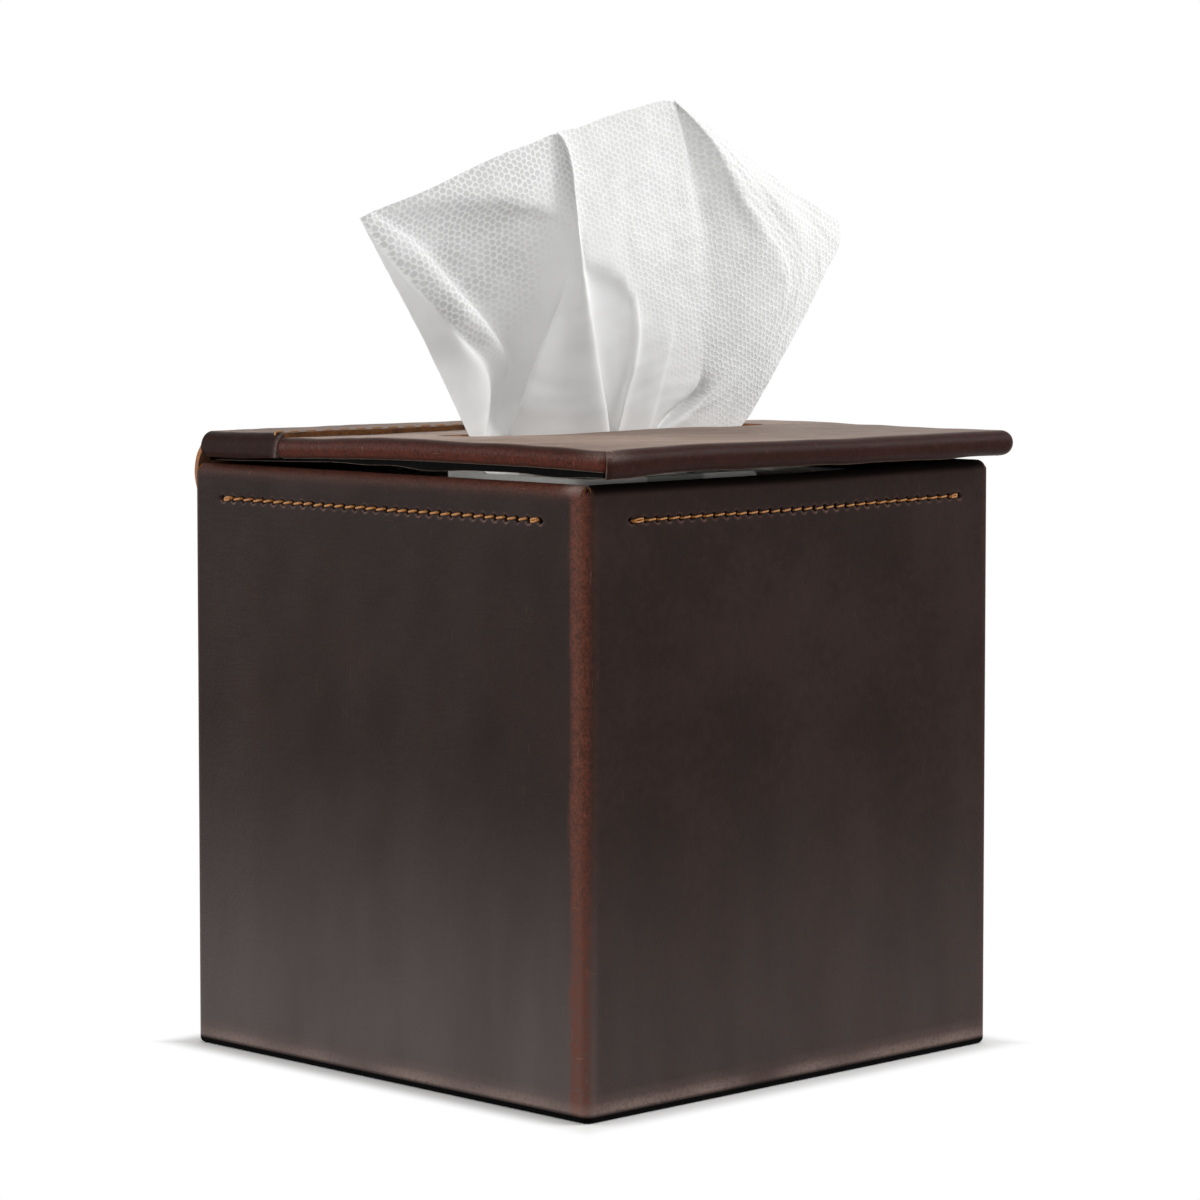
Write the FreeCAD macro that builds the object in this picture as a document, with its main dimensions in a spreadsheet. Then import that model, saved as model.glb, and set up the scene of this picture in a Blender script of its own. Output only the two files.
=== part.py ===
import FreeCAD, Part
import Sketcher
import os
import re

# Leather cube tissue box with a leather-hinged lid, holding a carton of tissues.
# Millimetres. +Z is up, the floor is z = 0 and the origin is the centre of the base.
# The front wall faces -Y, the hinge runs along X at the top of the back wall.

SIZES = [
    # the box
    ("box_width", 130.0, "outside, along X"),
    ("box_depth", 130.0, "outside, along Y"),
    ("box_height", 135.0, "floor to the rim of the walls"),
    ("leather", 2.7, "thickness of the wall, base and lid leather"),
    ("corner_radius", 2.4, "outside radius of the upright folds"),
    ("inner_corner_radius", 0.4, "least inside radius of the upright folds"),
    ("bottom_radius", 1.4, "outside radius of the fold under the box"),
    ("rim_radius", 2.1, "rounding of the turned-in rim"),
    ("rim_hem_depth", 14.0, "height of the strip turned in at the rim"),
    ("rim_hem_gap", 0.6, "between two such strips, at a corner"),
    ("flange_width", 14.0, "width of the strip turned under at the base"),
    ("inlay_gap", 0.2, "between the base panel and that strip"),
    ("board_thickness", 2.0, "base board"),
    ("board_gap", 0.4, "between the base board and the walls"),
    # closing seam at the middle of the back wall
    ("seam_gap", 0.4, "between the butted leather edges"),
    ("strip_width", 20.0, "backing strip inside the seam"),
    ("strip_thickness", 1.2, "backing strip inside the seam"),
    ("strip_gap", 0.5, "strip to the base board and to the rim hem"),
    ("seam_stitch_offset", 5.5, "stitch row to the seam"),
    # stitching
    ("stitch_drop", 7.8, "rim down to the stitch row"),
    ("stitch_margin", 12.0, "outside corner to the first stitch"),
    ("stitch_pitch", 3.5, "hole to hole on the walls"),
    ("flap_pitch", 5.0, "hole to hole on the lid and in the seam"),
    ("thread_radius", 0.45, "waxed thread"),
    ("stitch_cover", 0.84, "part of the pitch that the thread shows"),
    ("stitch_slant", 8.0, "degrees from the row"),
    # the lid
    ("lid_gap", 1.6, "rim of the walls to the underside of the lid"),
    ("lid_overhang_front", 6.0, "past the front wall"),
    ("lid_overhang_side", 1.2, "past each side wall"),
    ("lid_hem_width", 14.0, "strip turned under at the front and sides"),
    ("lid_edge_radius", 2.4, "rounding of the folded edges"),
    ("lid_corner_radius", 2.5, "front corners in plan"),
    ("slot_length", 100.0, "along X"),
    ("slot_width", 12.0, "along Y"),
    ("slot_setback", 4.0, "slot centre line in front of the box centre"),
    # the hinge strip
    ("flap_thickness", 1.2, "hinge leather"),
    ("flap_cover", 30.5, "how far it lies over the lid"),
    ("flap_drop", 15.5, "how far it lies down the back wall, from the rim"),
    ("flap_free", 6.0, "where it leaves the back wall, below the rim"),
    ("flap_bulge", 1.5, "how far it stands off the back wall at the rim"),
    ("flap_ease", 0.4, "clearance round the back edge of the lid"),
    ("flap_inset", 1.0, "from the box side to the end of the strip"),
    ("flap_bend_radius", 3.5, "inside radius of the bends at the rim"),
    ("flap_stitch_inset", 3.2, "edge of the strip to its stitch row"),
    # the refill
    ("carton_play", 3.6, "carton to the turned-in rim, all round"),
    ("card_thickness", 0.8, "carton wall"),
    ("carton_edge_radius", 1.5, "creases of the carton"),
    ("lid_rest_gap", 0.3, "top of the carton to the underside of the lid"),
    ("mouth_length", 98.0, "opening in the carton, along X"),
    ("mouth_width", 40.0, "opening in the carton, along Y"),
    ("stack_gap", 1.5, "folded tissues to the carton walls"),
    ("stack_headroom", 15.0, "folded tissues to the carton top"),
    ("stack_radius", 3.0, "soft edges of the folded tissues"),
    # the raised tissue
    ("sheet_base", 87.0, "width where it leaves the slot"),
    ("sheet_tail_taper", 6.0, "how much narrower its hidden end is"),
    ("sheet_thickness", 5.5, "over its folds"),
    ("sheet_clearance", 0.3, "to the front edge of the slot"),
    ("sheet_tail", 14.0, "hidden length below the lid"),
    ("sheet_span", 124.0, "corner to corner"),
    ("sheet_shoulder", 49.0, "lid top to the two corners"),
    ("sheet_shoulder_depth", 10.0, "depth of the folds at the corners"),
    ("sheet_peak", 77.0, "lid top to the peak"),
    ("sheet_peak_width", 26.0, "width of the peak"),
    ("sheet_peak_side", 12.0, "peak to the centre line"),
    ("sheet_turn", 18.0, "degrees the raised part turns about Z"),
]

# Places that several pieces share, as formulas of the sizes above.
BASE_TOP = "(leather + board_thickness)"
HEM_BOTTOM = "(box_height - rim_hem_depth)"
HEM_INSET = "(2 * leather + rim_hem_gap)"
INNER_CORNER = "max(corner_radius - leather; inner_corner_radius)"
RIM_ROUND = "min(rim_radius; 0.8 * leather)"
LID_ROUND = "min(lid_edge_radius; 0.9 * leather)"
LID_BOTTOM = "(box_height + lid_gap)"
LID_TOP = "(box_height + lid_gap + 2 * leather)"
LID_HALF = "(box_width / 2 + lid_overhang_side)"
LID_FRONT = "(-box_depth / 2 - lid_overhang_front)"
BACK = "(box_depth / 2)"
SLOT_Y = "(-slot_setback)"
CARTON_HALF_X = "(box_width / 2 - 2 * leather - carton_play)"
CARTON_HALF_Y = "(box_depth / 2 - 2 * leather - carton_play)"
CARTON_TOP = "(box_height + lid_gap - lid_rest_gap)"
STACK_TOP = "(box_height + lid_gap - lid_rest_gap - card_thickness - stack_headroom)"
SHEET_Y = "(-slot_setback - slot_width / 2 + sheet_clearance + sheet_thickness / 2)"
FLAP_HALF = "(box_width / 2 - flap_inset)"

doc = FreeCAD.newDocument("tissue_box")
sheet = doc.addObject("Spreadsheet::Sheet", "Sizes")
for row, (alias, value, meaning) in enumerate(SIZES, start=1):
    sheet.set(f"A{row}", alias)
    sheet.set(f"B{row}", str(value))
    sheet.set(f"C{row}", meaning)
    sheet.setAlias(f"B{row}", alias)
doc.recompute()

NAMES = {alias for alias, value, meaning in SIZES}
nodes = []


def linked(formula):
    """The formula with each size's name pointed at its cell."""
    return re.sub(r"[a-z_]+", lambda m: "Sizes." + m.group(0) if m.group(0) in NAMES else m.group(0), formula)


def bind(item, prop, formula):
    item.setExpression(prop, linked(formula))


def size(formula):
    """The formula's value now."""
    return sheet.evalExpression(formula)


def new_body(name):
    body = doc.addObject("PartDesign::Body", name)
    body.Label = name
    nodes.append(body)
    return body


def block(body, name, x, y, z, cut=False):
    """A box from low to high formulas on each axis, added to the body or cut out of it."""
    kind = "PartDesign::SubtractiveBox" if cut else "PartDesign::AdditiveBox"
    box = body.newObject(kind, name)
    for (low, high), length, axis in ((x, "Length", "x"), (y, "Width", "y"), (z, "Height", "z")):
        bind(box, length, f"({high}) - ({low})")
        bind(box, "Placement.Base." + axis, low)
    doc.recompute()
    return box


def oblong_cut(body, name, length, width, y, z):
    """A slot along X with round ends, centred on x = 0 and on the formula y."""
    reach = f"({length} - {width}) / 2"
    block(body, name, (f"-{reach}", reach), (f"{y} - {width} / 2", f"{y} + {width} / 2"), z, cut=True)
    for side, sign in (("left", "-"), ("right", "")):
        end = body.newObject("PartDesign::SubtractiveCylinder", f"{name}_{side}")
        bind(end, "Radius", f"{width} / 2")
        bind(end, "Height", f"({z[1]}) - ({z[0]})")
        bind(end, "Placement.Base.x", f"{sign}({reach})")
        bind(end, "Placement.Base.y", y)
        bind(end, "Placement.Base.z", z[0])
        doc.recompute()


def round_edges(body, name, radius, wanted):
    """Round the edges of the body's tip whose box passes the test."""
    tip = body.Tip
    picked = [f"Edge{i}" for i, edge in enumerate(tip.Shape.Edges, start=1) if wanted(edge.BoundBox)]
    fillet = body.newObject("PartDesign::Fillet", name)
    fillet.Base = (tip, picked)
    bind(fillet, "Radius", radius)
    doc.recompute()


def near(a, b):
    return abs(a - b) < 0.01


def upright(box):
    return near(box.XLength, 0) and near(box.YLength, 0) and box.ZLength > 1


def at_level(box, z):
    return near(box.ZMin, z) and near(box.ZMax, z)


def profile(body, name, plane, corners):
    """A closed sketch of straight lines whose corners are pairs of formulas."""
    sketch = body.newObject("Sketcher::SketchObject", name)
    support = [item for item in body.Origin.OriginFeatures if item.Role == plane][0]
    sketch.AttachmentSupport = [(support, "")]
    sketch.MapMode = "FlatFace"
    spots = [FreeCAD.Vector(size(a), size(b), 0) for a, b in corners]
    for i, spot in enumerate(spots):
        sketch.addGeometry(Part.LineSegment(spot, spots[(i + 1) % len(spots)]), False)
    for i in range(len(spots)):
        sketch.addConstraint(Sketcher.Constraint("Coincident", i, 2, (i + 1) % len(spots), 1))
    for i, (spot, formulas) in enumerate(zip(spots, corners)):
        for kind, value, formula in zip(("DistanceX", "DistanceY"), (spot.x, spot.y), formulas):
            number = sketch.addConstraint(Sketcher.Constraint(kind, -1, 1, i, 1, value))
            bind(sketch, f"Constraints[{number}]", formula)
    doc.recompute()
    return sketch


def make_wall_band():
    """One strip of leather folded round four walls, turned in at the rim and under at the base."""
    body = new_body("wall_band")
    across, along = ("-box_width / 2", "box_width / 2"), ("-box_depth / 2", "box_depth / 2")
    block(body, "outside", across, along, ("0", "box_height"))
    round_edges(body, "upright_folds", "corner_radius", upright)
    inner_x = ("-box_width / 2 + leather", "box_width / 2 - leather")
    inner_y = ("-box_depth / 2 + leather", "box_depth / 2 - leather")
    block(body, "inside", inner_x, inner_y, ("leather", "box_height"), cut=True)
    inside = size("box_width / 2 - leather")
    round_edges(body, "inside_folds", INNER_CORNER,
                lambda box: upright(box) and near(abs(box.XMin), inside))
    rim, half_x, half_y = size("box_height"), size("box_width / 2"), size("box_depth / 2")

    def outermost(box):
        return near(max(-box.XMin, box.XMax), half_x) or near(max(-box.YMin, box.YMax), half_y)

    round_edges(body, "bottom_fold", "bottom_radius", lambda box: at_level(box, 0))
    round_edges(body, "rim_outside", RIM_ROUND, lambda box: at_level(box, rim) and outermost(box))
    open_x = ("-box_width / 2 + flange_width", "box_width / 2 - flange_width")
    open_y = ("-box_depth / 2 + flange_width", "box_depth / 2 - flange_width")
    block(body, "base_opening", open_x, open_y, ("0", "leather"), cut=True)
    hem_x = (f"-box_width / 2 + {HEM_INSET}", f"box_width / 2 - {HEM_INSET}")
    hem_y = (f"-box_depth / 2 + {HEM_INSET}", f"box_depth / 2 - {HEM_INSET}")
    hem_z = (HEM_BOTTOM, "box_height")
    block(body, "hem_front", hem_x, ("-box_depth / 2 + leather", "-box_depth / 2 + 2 * leather"), hem_z)
    block(body, "hem_back", hem_x, ("box_depth / 2 - 2 * leather", "box_depth / 2 - leather"), hem_z)
    block(body, "hem_left", ("-box_width / 2 + leather", "-box_width / 2 + 2 * leather"), hem_y, hem_z)
    block(body, "hem_right", ("box_width / 2 - 2 * leather", "box_width / 2 - leather"), hem_y, hem_z)
    hem_face_x, hem_face_y = size("box_width / 2 - 2 * leather"), size("box_depth / 2 - 2 * leather")
    round_edges(body, "rim_inside", RIM_ROUND, lambda box: at_level(box, rim) and (
        (near(abs(box.XMin), hem_face_x) and near(box.XLength, 0))
        or (near(abs(box.YMin), hem_face_y) and near(box.YLength, 0))))
    block(body, "closing_seam", ("-seam_gap / 2", "seam_gap / 2"),
          (f"{BACK} - flange_width", BACK), ("0", "box_height"), cut=True)


def make_base():
    """A leather panel let in flush under the box, and the board glued over it and the flange."""
    panel = new_body("bottom_panel")
    half_x = "box_width / 2 - flange_width - inlay_gap"
    half_y = "box_depth / 2 - flange_width - inlay_gap"
    block(panel, "panel", (f"-({half_x})", half_x), (f"-({half_y})", half_y), ("0", "leather"))
    board = new_body("base_board")
    half_x = "box_width / 2 - leather - board_gap"
    half_y = "box_depth / 2 - leather - board_gap"
    block(board, "board", (f"-({half_x})", half_x), (f"-({half_y})", half_y), ("leather", BASE_TOP))
    round_edges(board, "board_corners", INNER_CORNER, upright)


def make_seam_strip():
    strip = new_body("seam_strip")
    block(strip, "strip", ("-strip_width / 2", "strip_width / 2"),
          (f"{BACK} - leather - strip_thickness", f"{BACK} - leather"),
          (f"{BASE_TOP} + strip_gap", f"{HEM_BOTTOM} - strip_gap"))


def lid_slot_cut(body):
    oblong_cut(body, "slot", "slot_length", "slot_width", SLOT_Y, (LID_BOTTOM, LID_TOP))


def make_lid():
    """The lid leather, turned under at the front and sides, and the lining between its hems."""
    panel = new_body("lid_panel")
    middle = f"{LID_BOTTOM} + leather"
    full_x, full_y = (f"-{LID_HALF}", LID_HALF), (LID_FRONT, BACK)
    inner = f"({LID_HALF} - lid_hem_width)"
    block(panel, "top", full_x, full_y, (middle, LID_TOP))
    block(panel, "hem_front", full_x, (LID_FRONT, f"{LID_FRONT} + lid_hem_width"), (LID_BOTTOM, middle))
    block(panel, "hem_left", (f"-{LID_HALF}", f"-{inner}"), full_y, (LID_BOTTOM, middle))
    block(panel, "hem_right", (inner, LID_HALF), full_y, (LID_BOTTOM, middle))
    front, back, half = size(LID_FRONT), size(BACK), size(LID_HALF)
    round_edges(panel, "front_corners", "lid_corner_radius",
                lambda box: upright(box) and near(box.YMin, front) and near(abs(box.XMin), half))
    low, high = size(LID_BOTTOM), size(LID_TOP)

    def folded(box):
        outside = near(box.YMin, front) or (near(box.XLength, 0) and near(abs(box.XMin), half))
        return (at_level(box, low) or at_level(box, high)) and outside

    round_edges(panel, "folded_edges", LID_ROUND, folded)
    round_edges(panel, "back_edge", LID_ROUND,
                lambda box: at_level(box, high) and near(box.YMin, back) and near(box.YMax, back))
    lid_slot_cut(panel)
    lining = new_body("lid_lining")
    block(lining, "lining", (f"-{inner}", inner), (f"{LID_FRONT} + lid_hem_width", BACK),
          (LID_BOTTOM, middle))
    lid_slot_cut(lining)


def make_hinge_flap():
    """A strip that lies over the back of the lid, bends round the joint and down the back wall."""
    body = new_body("hinge_flap")
    low = "box_height - flap_drop"
    free = "box_height - flap_free"
    stand = f"{BACK} + flap_bulge"
    edge = f"{BACK} + flap_ease"
    start = f"{BACK} - flap_cover"
    corners = [
        (BACK, low), (BACK, free), (stand, "box_height"), (edge, LID_TOP), (start, LID_TOP),
        (start, f"{LID_TOP} + flap_thickness"), (f"{edge} + flap_thickness", f"{LID_TOP} + flap_thickness"),
        (f"{stand} + flap_thickness", "box_height"), (f"{BACK} + flap_thickness", free),
        (f"{BACK} + flap_thickness", low),
    ]
    sketch = profile(body, "flap_profile", "YZ_Plane", corners)
    pad = body.newObject("PartDesign::Pad", "flap_pad")
    pad.Profile = sketch
    pad.SideType = "Symmetric"
    bind(pad, "Length", f"2 * {FLAP_HALF}")
    doc.recompute()

    def bend(*spots):
        places = [(size(y), size(z)) for y, z in spots]
        return lambda box: box.XLength > 1 and any(
            near(box.YMin, y) and near(box.ZMin, z) for y, z in places)

    gentle = bend(corners[1], corners[2], corners[7], corners[8])
    round_edges(body, "gentle_bends", "flap_bend_radius", gentle)
    round_edges(body, "lid_bend_inside", f"{LID_ROUND} + flap_ease", bend(corners[3]))
    round_edges(body, "lid_bend_outside", f"{LID_ROUND} + flap_ease + flap_thickness", bend(corners[6]))


def stitch(radius, length):
    """A half-round stitch lying along +X on the plane z = 0, centred on the origin."""
    arc = Part.Arc(FreeCAD.Vector(0, -radius, 0), FreeCAD.Vector(0, 0, radius), FreeCAD.Vector(0, radius, 0))
    flat = Part.LineSegment(FreeCAD.Vector(0, radius, 0), FreeCAD.Vector(0, -radius, 0))
    section = Part.Face(Part.Wire([arc.toShape(), flat.toShape()]))
    solid = section.extrude(FreeCAD.Vector(length, 0, 0))
    solid.translate(FreeCAD.Vector(-length / 2, 0, 0))
    return solid


def make_thread(name, half_length, pitch, rows, place, turn):
    """Rows of stitches from -half_length to half_length, each row at its own offset across.

    A row runs along local X at local y = offset; place and turn carry it onto the leather's face.
    """
    half, step = size(half_length), size(pitch)
    radius, slant = size("thread_radius"), size("stitch_slant")
    count = max(1, int(2 * half / step))
    first = -step * (count - 1) / 2
    one = stitch(radius, step * size("stitch_cover"))
    one.rotate(FreeCAD.Vector(), FreeCAD.Vector(0, 0, 1), slant)
    stitches = []
    for offset in rows:
        for i in range(count):
            copy = one.copy()
            copy.translate(FreeCAD.Vector(first + i * step, offset, 0))
            stitches.append(copy)
    thread = doc.addObject("Part::Feature", name)
    thread.Label = name
    thread.Shape = Part.makeCompound(stitches)
    thread.Placement = FreeCAD.Placement(FreeCAD.Vector(*(size(p) for p in place)), turn)
    nodes.append(thread)


def facing(normal, along):
    """The rotation that lays local +Z on the normal and local +X on along."""
    normal, along = FreeCAD.Vector(*normal), FreeCAD.Vector(*along)
    return FreeCAD.Rotation(along, normal.cross(along), normal, "ZXY")


def make_threads():
    row_z = "box_height - stitch_drop"
    across, along = "box_width / 2 - stitch_margin", "box_depth / 2 - stitch_margin"
    left, right = "-box_width / 2", "box_width / 2"
    make_thread("front_rim_thread", across, "stitch_pitch", [0],
                ("0", "-box_depth / 2", row_z), facing((0, -1, 0), (1, 0, 0)))
    make_thread("left_rim_thread", along, "stitch_pitch", [0],
                (left, "0", row_z), facing((-1, 0, 0), (0, -1, 0)))
    make_thread("right_rim_thread", along, "stitch_pitch", [0],
                (right, "0", row_z), facing((1, 0, 0), (0, 1, 0)))
    make_thread("back_rim_thread", across, "stitch_pitch", [0],
                ("0", f"{BACK} + flap_thickness", row_z), facing((0, 1, 0), (-1, 0, 0)))
    make_thread("flap_thread", f"{FLAP_HALF} - flap_stitch_inset", "flap_pitch", [0],
                ("0", f"{BACK} - flap_cover + flap_stitch_inset", f"{LID_TOP} + flap_thickness"),
                facing((0, 0, 1), (1, 0, 0)))
    low, high = f"{BASE_TOP} + strip_gap + stitch_pitch", "box_height - flap_drop - stitch_pitch"
    offset = size("seam_stitch_offset")
    make_thread("seam_thread", f"(({high}) - ({low})) / 2", "flap_pitch", [-offset, offset],
                ("0", BACK, f"(({high}) + ({low})) / 2"), facing((0, 1, 0), (0, 0, 1)))


def make_refill():
    """The card carton with its oblong mouth, and the folded tissues in it."""
    carton = new_body("tissue_carton")
    block(carton, "carton", (f"-{CARTON_HALF_X}", CARTON_HALF_X), (f"-{CARTON_HALF_Y}", CARTON_HALF_Y),
          (BASE_TOP, CARTON_TOP))
    round_edges(carton, "carton_creases", "carton_edge_radius", upright)
    inner_x, inner_y = f"({CARTON_HALF_X} - card_thickness)", f"({CARTON_HALF_Y} - card_thickness)"
    block(carton, "hollow", (f"-{inner_x}", inner_x), (f"-{inner_y}", inner_y),
          (f"{BASE_TOP} + card_thickness", f"{CARTON_TOP} - card_thickness"), cut=True)
    oblong_cut(carton, "mouth", "mouth_length", "mouth_width", SLOT_Y,
               (f"{CARTON_TOP} - card_thickness", CARTON_TOP))
    stack = new_body("tissue_stack")
    half_x = f"{CARTON_HALF_X} - card_thickness - stack_gap"
    half_y = f"{CARTON_HALF_Y} - card_thickness - stack_gap"
    block(stack, "stack", (f"-({half_x})", half_x), (f"-({half_y})", half_y),
          (f"{BASE_TOP} + card_thickness", STACK_TOP))
    round_edges(stack, "soft_edges", "stack_radius", upright)


def sheet_section(body, name, z, width, depth, side, turn):
    """An oblong across the raised tissue at height z, shifted to one side and turned about Z."""
    sketch = profile(body, name, "XY_Plane", [
        (f"-{width} / 2", f"-{depth} / 2"), (f"{width} / 2", f"-{depth} / 2"),
        (f"{width} / 2", f"{depth} / 2"), (f"-{width} / 2", f"{depth} / 2")])
    bind(sketch, "AttachmentOffset.Base.x", side)
    bind(sketch, "AttachmentOffset.Base.y", SHEET_Y)
    bind(sketch, "AttachmentOffset.Base.z", z)
    bind(sketch, "AttachmentOffset.Rotation.Angle", turn)
    doc.recompute()
    return sketch


def make_pull_tissue():
    """The next tissue, standing up through the slot and leaning on its front edge."""
    body = new_body("pull_tissue")
    thick = "sheet_thickness"
    sections = [
        sheet_section(body, "tail", f"{LID_BOTTOM} - sheet_tail", "(sheet_base - sheet_tail_taper)", thick,
                      "0", "0"),
        sheet_section(body, "throat", f"{LID_TOP} + leather", "sheet_base", thick, "0", "0"),
        sheet_section(body, "shoulder", f"{LID_TOP} + sheet_shoulder", "sheet_span", "sheet_shoulder_depth",
                      "0", "-sheet_turn"),
        sheet_section(body, "peak", f"{LID_TOP} + sheet_peak", "sheet_peak_width", thick,
                      "sheet_peak_side", "-sheet_turn"),
    ]
    loft = body.newObject("PartDesign::AdditiveLoft", "raised_sheet")
    loft.Profile = sections[0]
    loft.Sections = sections[1:]
    loft.Ruled = True
    doc.recompute()


def write_parts():
    doc.recompute()
    for item in doc.Objects:
        if "Invalid" in item.State or "Error" in item.State:
            raise RuntimeError(f"{item.Name}: {item.State}")
    for node in nodes:
        if node.Shape.isNull() or not node.Shape.isValid():
            raise RuntimeError(f"{node.Label} has no valid shape")
    os.makedirs("parts", exist_ok=True)
    for node in nodes:
        node.Shape.exportStep(f"parts/{node.Label}.step")


make_wall_band()
make_base()
make_seam_strip()
make_lid()
make_hinge_flap()
make_threads()
make_refill()
make_pull_tissue()
write_parts()
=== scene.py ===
import math

import bmesh
import bpy
import numpy as np
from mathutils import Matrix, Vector


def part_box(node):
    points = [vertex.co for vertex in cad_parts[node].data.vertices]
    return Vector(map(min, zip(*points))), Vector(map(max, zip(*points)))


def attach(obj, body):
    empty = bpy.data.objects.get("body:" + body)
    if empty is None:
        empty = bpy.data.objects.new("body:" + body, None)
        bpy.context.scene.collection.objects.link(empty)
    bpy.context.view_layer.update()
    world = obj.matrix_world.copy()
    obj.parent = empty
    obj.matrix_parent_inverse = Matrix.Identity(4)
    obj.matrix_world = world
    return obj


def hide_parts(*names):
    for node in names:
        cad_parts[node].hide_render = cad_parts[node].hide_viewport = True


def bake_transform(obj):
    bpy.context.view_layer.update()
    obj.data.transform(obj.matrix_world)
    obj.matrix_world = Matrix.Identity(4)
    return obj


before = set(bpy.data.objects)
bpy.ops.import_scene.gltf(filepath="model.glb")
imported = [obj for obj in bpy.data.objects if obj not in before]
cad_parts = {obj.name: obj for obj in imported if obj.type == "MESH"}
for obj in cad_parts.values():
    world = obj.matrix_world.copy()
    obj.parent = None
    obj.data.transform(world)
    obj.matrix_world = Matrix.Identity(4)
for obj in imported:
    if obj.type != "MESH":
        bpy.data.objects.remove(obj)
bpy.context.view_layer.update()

# A leather cube tissue box: stitched walls, a hinged lid with a slot, and a raised tissue.
# Sizes here are millimetres in the CAD frame; make_piece turns them into Blender's metres.

MM = 0.001


def node_box(name):
    """The low and high corners of a CAD node, in millimetres."""
    return tuple(np.array(corner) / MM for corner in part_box(name))


WALL_HIGH = node_box("wall_band")[1]
LID_LOW, LID_HIGH = node_box("lid_panel")
HALF = WALL_HIGH[0]                           # half the box's width and depth
RIM = WALL_HIGH[2]
LEATHER = node_box("bottom_panel")[1][2]      # thickness of the wall and lid leather
LID_FRONT, LID_BACK, LID_HALF = LID_LOW[1], LID_HIGH[1], LID_HIGH[0]
LID_BOTTOM, LID_TOP = LID_LOW[2], LID_HIGH[2]
FLAP_LOW, FLAP_HIGH = node_box("hinge_flap")
FLAP_THICKNESS = FLAP_HIGH[2] - LID_TOP
CARTON_LOW, CARTON_HIGH = node_box("tissue_carton")
STACK_LOW, STACK_HIGH = node_box("tissue_stack")
LINING_LOW, LINING_HIGH = node_box("lid_lining")

SLOT_LENGTH, SLOT_WIDTH, SLOT_Y = 100.0, 12.0, -4.0
CORNER_RADIUS, RIM_RADIUS, BOTTOM_RADIUS = 2.2, 2.4, 1.3
INNER_RADIUS = 0.35                           # least corner radius of the inner layers
LID_SHIFT = 0.4                               # the used lid sits a little to the right
HEM_DEPTH, FLANGE = 14.0, 14.0                # the rim's turned-in hem, and the foot turned in below
LID_HEM = 11.35                               # how far the lid's edges are turned under
FOLD_ROWS = 17                                # of the mesh round each of the lid's folded edges
BACK_SETBACK = 1.6                            # draws the lid's back edge in under the hinge strip
SLIT_Z = RIM - 1.3                            # the rim's height at its slit corners
FINISH = {"cut": 1, "inside": 2}              # material of each kind of leather; the rest is the grain side
STITCH_Z, STITCH_PITCH = RIM - 7.8, 3.5
FLAP_PITCH = 5.0

# the photograph's camera
CAMERA = np.array([-675.6, -688.0, 187.6])
YAW, PITCH = math.radians(44.597), math.radians(3.782)
LENS, SENSOR, FRAME_PIXELS = 125.63, 36.0, 1200
SHIFT = -0.0743                               # of the frame's height, which keeps the uprights parallel


# ---- shapes

def smooth(t):
    """0 below 0, 1 above 1, and an even S between."""
    t = np.clip(t, 0, 1)
    return t * t * (3 - 2 * t)


def bell(t):
    """1 at nought, fading out either side."""
    return np.exp(-t ** 2)


def level(flat, z):
    """Points in plan, lifted to the height z."""
    return np.column_stack([flat, np.full(len(flat), z)])


def swell(u, v, length, seed):
    """A smooth random surface, about one high, whose waves are about `length` long."""
    count = 7
    draw = np.random.default_rng(seed)
    total = np.zeros(np.broadcast(u, v).shape)
    for angle, phase, stretch in draw.uniform(0, 1, (count, 3)):
        k = 2 * math.pi / (length * (0.7 + 0.8 * stretch))
        across = u * math.cos(2 * math.pi * angle) + v * math.sin(2 * math.pi * angle)
        total += np.sin(k * across + 2 * math.pi * phase)
    return total / math.sqrt(count / 2)


def curve_through(points, spots):
    """The smooth curve through the points, at the given spots from 0 to len(points) - 1."""
    points = np.asarray(points, float)
    ends = np.concatenate([[2 * points[0] - points[1]], points, [2 * points[-1] - points[-2]]])
    i = np.clip(np.floor(spots).astype(int), 0, len(points) - 2)
    t = (spots - i).reshape((-1,) + (1,) * (points.ndim - 1))
    a, b, c, d = ends[i], ends[i + 1], ends[i + 2], ends[i + 3]
    bend, twist = 2 * a - 5 * b + 4 * c - d, 3 * b - a - 3 * c + d
    return 0.5 * (2 * b + (c - a) * t + bend * t ** 2 + twist * t ** 3)


def distance_along(points):
    """How far each point is along the points' line."""
    steps = np.linalg.norm(np.diff(points, axis=0), axis=1)
    return np.concatenate([[0], np.cumsum(steps)])


def even_spots(points, count):
    """Spots for curve_through that lie evenly along the points' line."""
    length = distance_along(points)
    return np.interp(np.linspace(0, length[-1], count), length, np.arange(len(points)))


def grid_faces(rows, columns, wrap_rows=False, wrap_columns=False):
    """Four-cornered faces over a grid of points, joined up round its rows or columns where asked."""
    last_row, last_column = rows - (not wrap_rows), columns - (not wrap_columns)
    i, j = np.meshgrid(np.arange(last_row), np.arange(last_column), indexing="ij")
    down, right = (i + 1) % rows, (j + 1) % columns
    corners = [i * columns + j, i * columns + right, down * columns + right, down * columns + j]
    return np.stack(corners, -1).reshape(-1, 4)


def tube_faces(rows, columns, start=0, first_cap=True):
    """The faces of a stack of rings, with a cap on its last ring and usually on its first."""
    faces = (grid_faces(rows, columns, wrap_columns=True) + start).tolist()
    for row in [0, rows - 1] if first_cap else [rows - 1]:
        faces.append(list(range(start + row * columns, start + (row + 1) * columns)))
    return faces


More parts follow.
